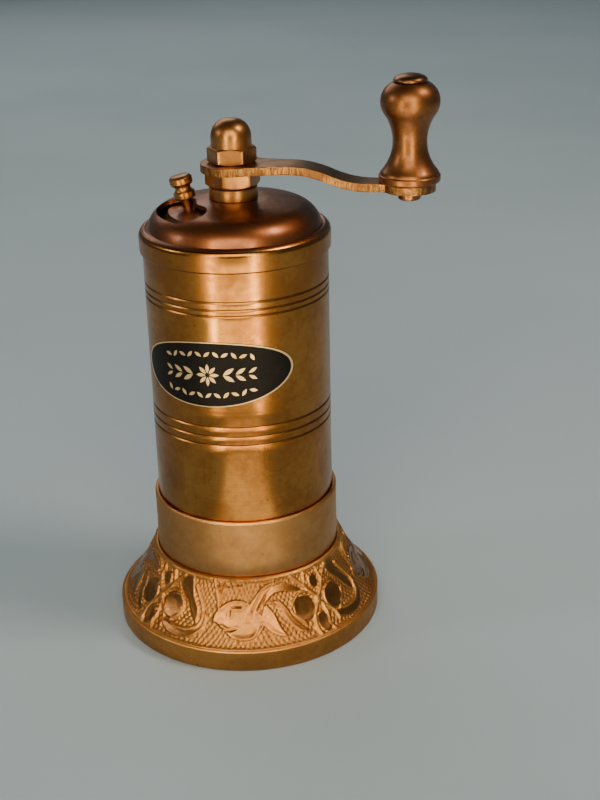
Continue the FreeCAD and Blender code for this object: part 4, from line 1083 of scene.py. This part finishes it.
def make_knob():
    """The turned grip: stepped flange, waist and ball."""
    foot, top = KNOB["foot"], KNOB["top"]
    flange, waist, ball = KNOB["radius"], 12.1, 5.6
    waist_height, ball_height, ball_centre = 10.85, 21.15, 2.3
    steep = waist_height - ball_height
    reach = sqrt((ball + waist) ** 2 - steep ** 2)
    share = ball / (ball + waist)
    turn_point = (ball_centre + reach * share, foot + ball_height + steep * share)
    away = ball_centre + reach
    step_radius = flange - 0.55
    start = (step_radius, foot + waist_height - sqrt(waist ** 2 - (away - step_radius) ** 2))
    outline = softened([
        (1.7, foot, 0.1), (flange - 0.35, foot, 0.2), (flange, foot + 0.35, 0.2),
        (flange, foot + 1.75, 0.25), (flange - 0.3, foot + 2.1, 0.1),
    ], 0.1, 4)
    outline += bulge(start, turn_point, waist, 26)
    outline += bulge(turn_point, (4.8, top), -ball, 22)[1:-1]
    outline += softened([(4.8, top, 0.0), (4.4, top - 0.02, 0), (1.7, top - 0.02, 0.1)], 0.1, 2)
    finished("knob_grip", lathe("knob_grip", outline, 160, ON_KNOB_AXIS), "crank_grip",
             ["crank_knob"], ["knob"])


def make_rivet():
    """The knob's pin: a domed head above, a set-over end below."""
    foot, top = RIVET["foot"], RIVET["top"]
    head = KNOB["top"] + 0.15
    tail, shank, step = 3.1, 1.6, ARM["foot"]
    outline = [(0, foot), (2.3, foot), (2.75, foot + 0.12), (3.02, foot + 0.4),
               (tail, foot + 0.85), (tail, step), (shank, step), (shank, head), (4.2, head),
               (4.45, head + 0.18)]
    outline += [(4.5 * cos(a), head + 0.4 + (top - head - 0.4) * sin(a))
                for a in np.linspace(0.0, pi / 2, 14)]
    outline[-1] = (0, top)
    finished("knob_pin", lathe("knob_pin", outline, 96, ON_KNOB_AXIS), "rotor",
             ["knob_rivet"], ["rivet"])


# ---------------- CAD pieces that stay

KEPT = {
    "satin": ("base_floor_plate",),
    "cap": ("shutter_plate",),
    "turned": ("shutter_spacer", "bush_lock_nut", "guide_spider", "lower_bridge",
               "adjuster_screw"),
    "steel": ("drive_shaft", "burr_pin", "burr_set_screws", "bridge_screws", "spring_washer",
              "burr_spring", "thrust_ball"),
    "burr": ("outer_burr", "inner_burr"),
}


def finish_kept():
    for finish, names in KEPT.items():
        for name in names:
            mesh = frame["nodes"][name].data
            mesh.materials.clear()
            mesh.materials.append(MATERIALS[finish])


# ---------------- studio

def make_floor():
    """A round pale sheet that sweeps up far away from the mill."""
    finish = Finish("pale_floor")
    mottle = finish.cloud(220, 4, 0.5)
    colour = finish.blend(
        finish.band(mottle, 0.3, 0.7), (0.40, 0.50, 0.56), (0.37, 0.47, 0.53))
    material = finish.set(colour=colour, roughness=0.9, metallic=0.0, specular=0.0,
                          normal=finish.bump(finish.cloud(1.5, 5, 0.6), 0.02))
    profile = [(0.3, 0.0), (0.8, 0.0)]
    profile += [(2.0 + 0.9 * sin(a), 0.9 * (1 - cos(a)))
                for a in np.linspace(0, pi / 2, 18)]
    profile.append((2.9, 2.6))
    segments = 128
    vertices = []
    for radius, rise in profile:
        vertices += [around(radius, 2 * pi * i / segments, rise) for i in range(segments)]
    faces = [list(range(segments))]
    faces += [face[::-1] for face in ring_faces(len(profile), segments, False)]
    mesh = bpy.data.meshes.new("floor")
    mesh.from_pydata(vertices, [], faces)
    mesh.materials.append(material)
    mesh.shade_smooth()
    placed("floor", mesh)


def area_light(name, place, target, size, power, colour):
    lamp = bpy.data.lights.new(name, "AREA")
    lamp.shape = "RECTANGLE"
    lamp.size, lamp.size_y = size
    lamp.energy = power
    lamp.color = colour
    holder = placed(name, lamp)
    holder.location = place
    holder.rotation_euler = (Vector(target) - Vector(place)).to_track_quat("-Z", "Y").to_euler()
    return holder


def glow_only(lamp):
    """A soft box that polished metal mirrors but that neither lights the floor nor shows."""
    lamp.visible_camera = False
    lamp.visible_diffuse = False


def make_lights():
    """A wide window in front, soft boxes round the mill, and the glows its brass mirrors."""
    aim = (0, 0, 0.08)
    area_light("window", (-0.10, -1.05, 0.78), aim, (1.05, 0.55), 9.0, (1.0, 0.87, 0.64))
    area_light("side", (0.58, -0.19, 0.85), (0, 0, 0.1), (0.26, 0.26), 4.2, (1.0, 0.82, 0.68))
    area_light("left", (-0.95, -0.12, 0.50), aim, (0.2, 0.2), 1.3, (1.0, 0.90, 0.85))
    area_light("back", (-0.45, 1.25, 0.95), aim, (1.3, 0.8), 5.0, (1.0, 0.93, 0.82))
    ceiling = area_light("ceiling", (0, 0, 2.5), (0, 0.001, 0), (4.0, 4.0), 20.0, (1.0, 0.97, 0.93))
    ceiling.visible_camera = False
    ceiling.visible_glossy = False
    for name, azimuth in (("edge_left", -29), ("edge_right", 20)):
        turn = radians(azimuth)
        place = (0.20 * sin(turn), -0.20 * cos(turn), 0.11)
        glow_only(area_light(name, place, (0, 0, 0.11), (0.016, 0.22), 0.27, (1.0, 0.80, 0.44)))
    front = (0, -0.113)
    for name, place, target, size, power, colour in (
        ("low_window", (-0.008, -0.215, 0.025), (0, 0, 0.03), (0.15, 0.05), 0.10,
         (1.0, 0.80, 0.45)),
        ("pane", (-0.018, -0.235, 0.065), (0, 0, 0.10), (0.14, 0.07), 0.015, (1.0, 0.78, 0.38)),
        ("table", (*front, 0.004), (*front, 1), (0.10, 0.105), 0.048, (1.0, 0.88, 0.64)),
    ):
        glow_only(area_light(name, place, target, size, power, colour))
    world = bpy.data.worlds.new("room")
    bpy.context.scene.world = world
    world.use_nodes = True
    sky = world.node_tree.nodes["Background"].inputs
    sky["Color"].default_value = (0.40, 0.44, 0.50, 1)
    sky["Strength"].default_value = 0.06


FOCAL_LENGTH = 59.37                # for a frame 36 mm wide
EYE_POINT = (0, -0.3564, 0.2207)
RIGHT = Vector((0.99810762, -0.05721836, -0.02252205))
UP = Vector((0.04331452, 0.39423698, 0.9179875))


def make_camera():
    """A camera in front of the mill, a little above it and looking down."""
    lens = bpy.data.cameras.new("view")
    lens.lens = FOCAL_LENGTH
    lens.sensor_width = 36
    lens.clip_start = 0.01
    holder = placed("view", lens)
    turn = Matrix((RIGHT, UP, RIGHT.cross(UP))).transposed().to_4x4()
    holder.matrix_world = Matrix.Translation(EYE_POINT) @ turn
    bpy.context.scene.camera = holder


for make in (
    make_camera, make_lights, make_floor, make_pedestal, make_collar, make_tube, make_label,
    make_label_ornament, make_cap, make_bush, make_seat_nut, make_acorn_nut, make_shutter_knob,
    make_arm, make_knob, make_rivet, finish_kept,
):
    make()
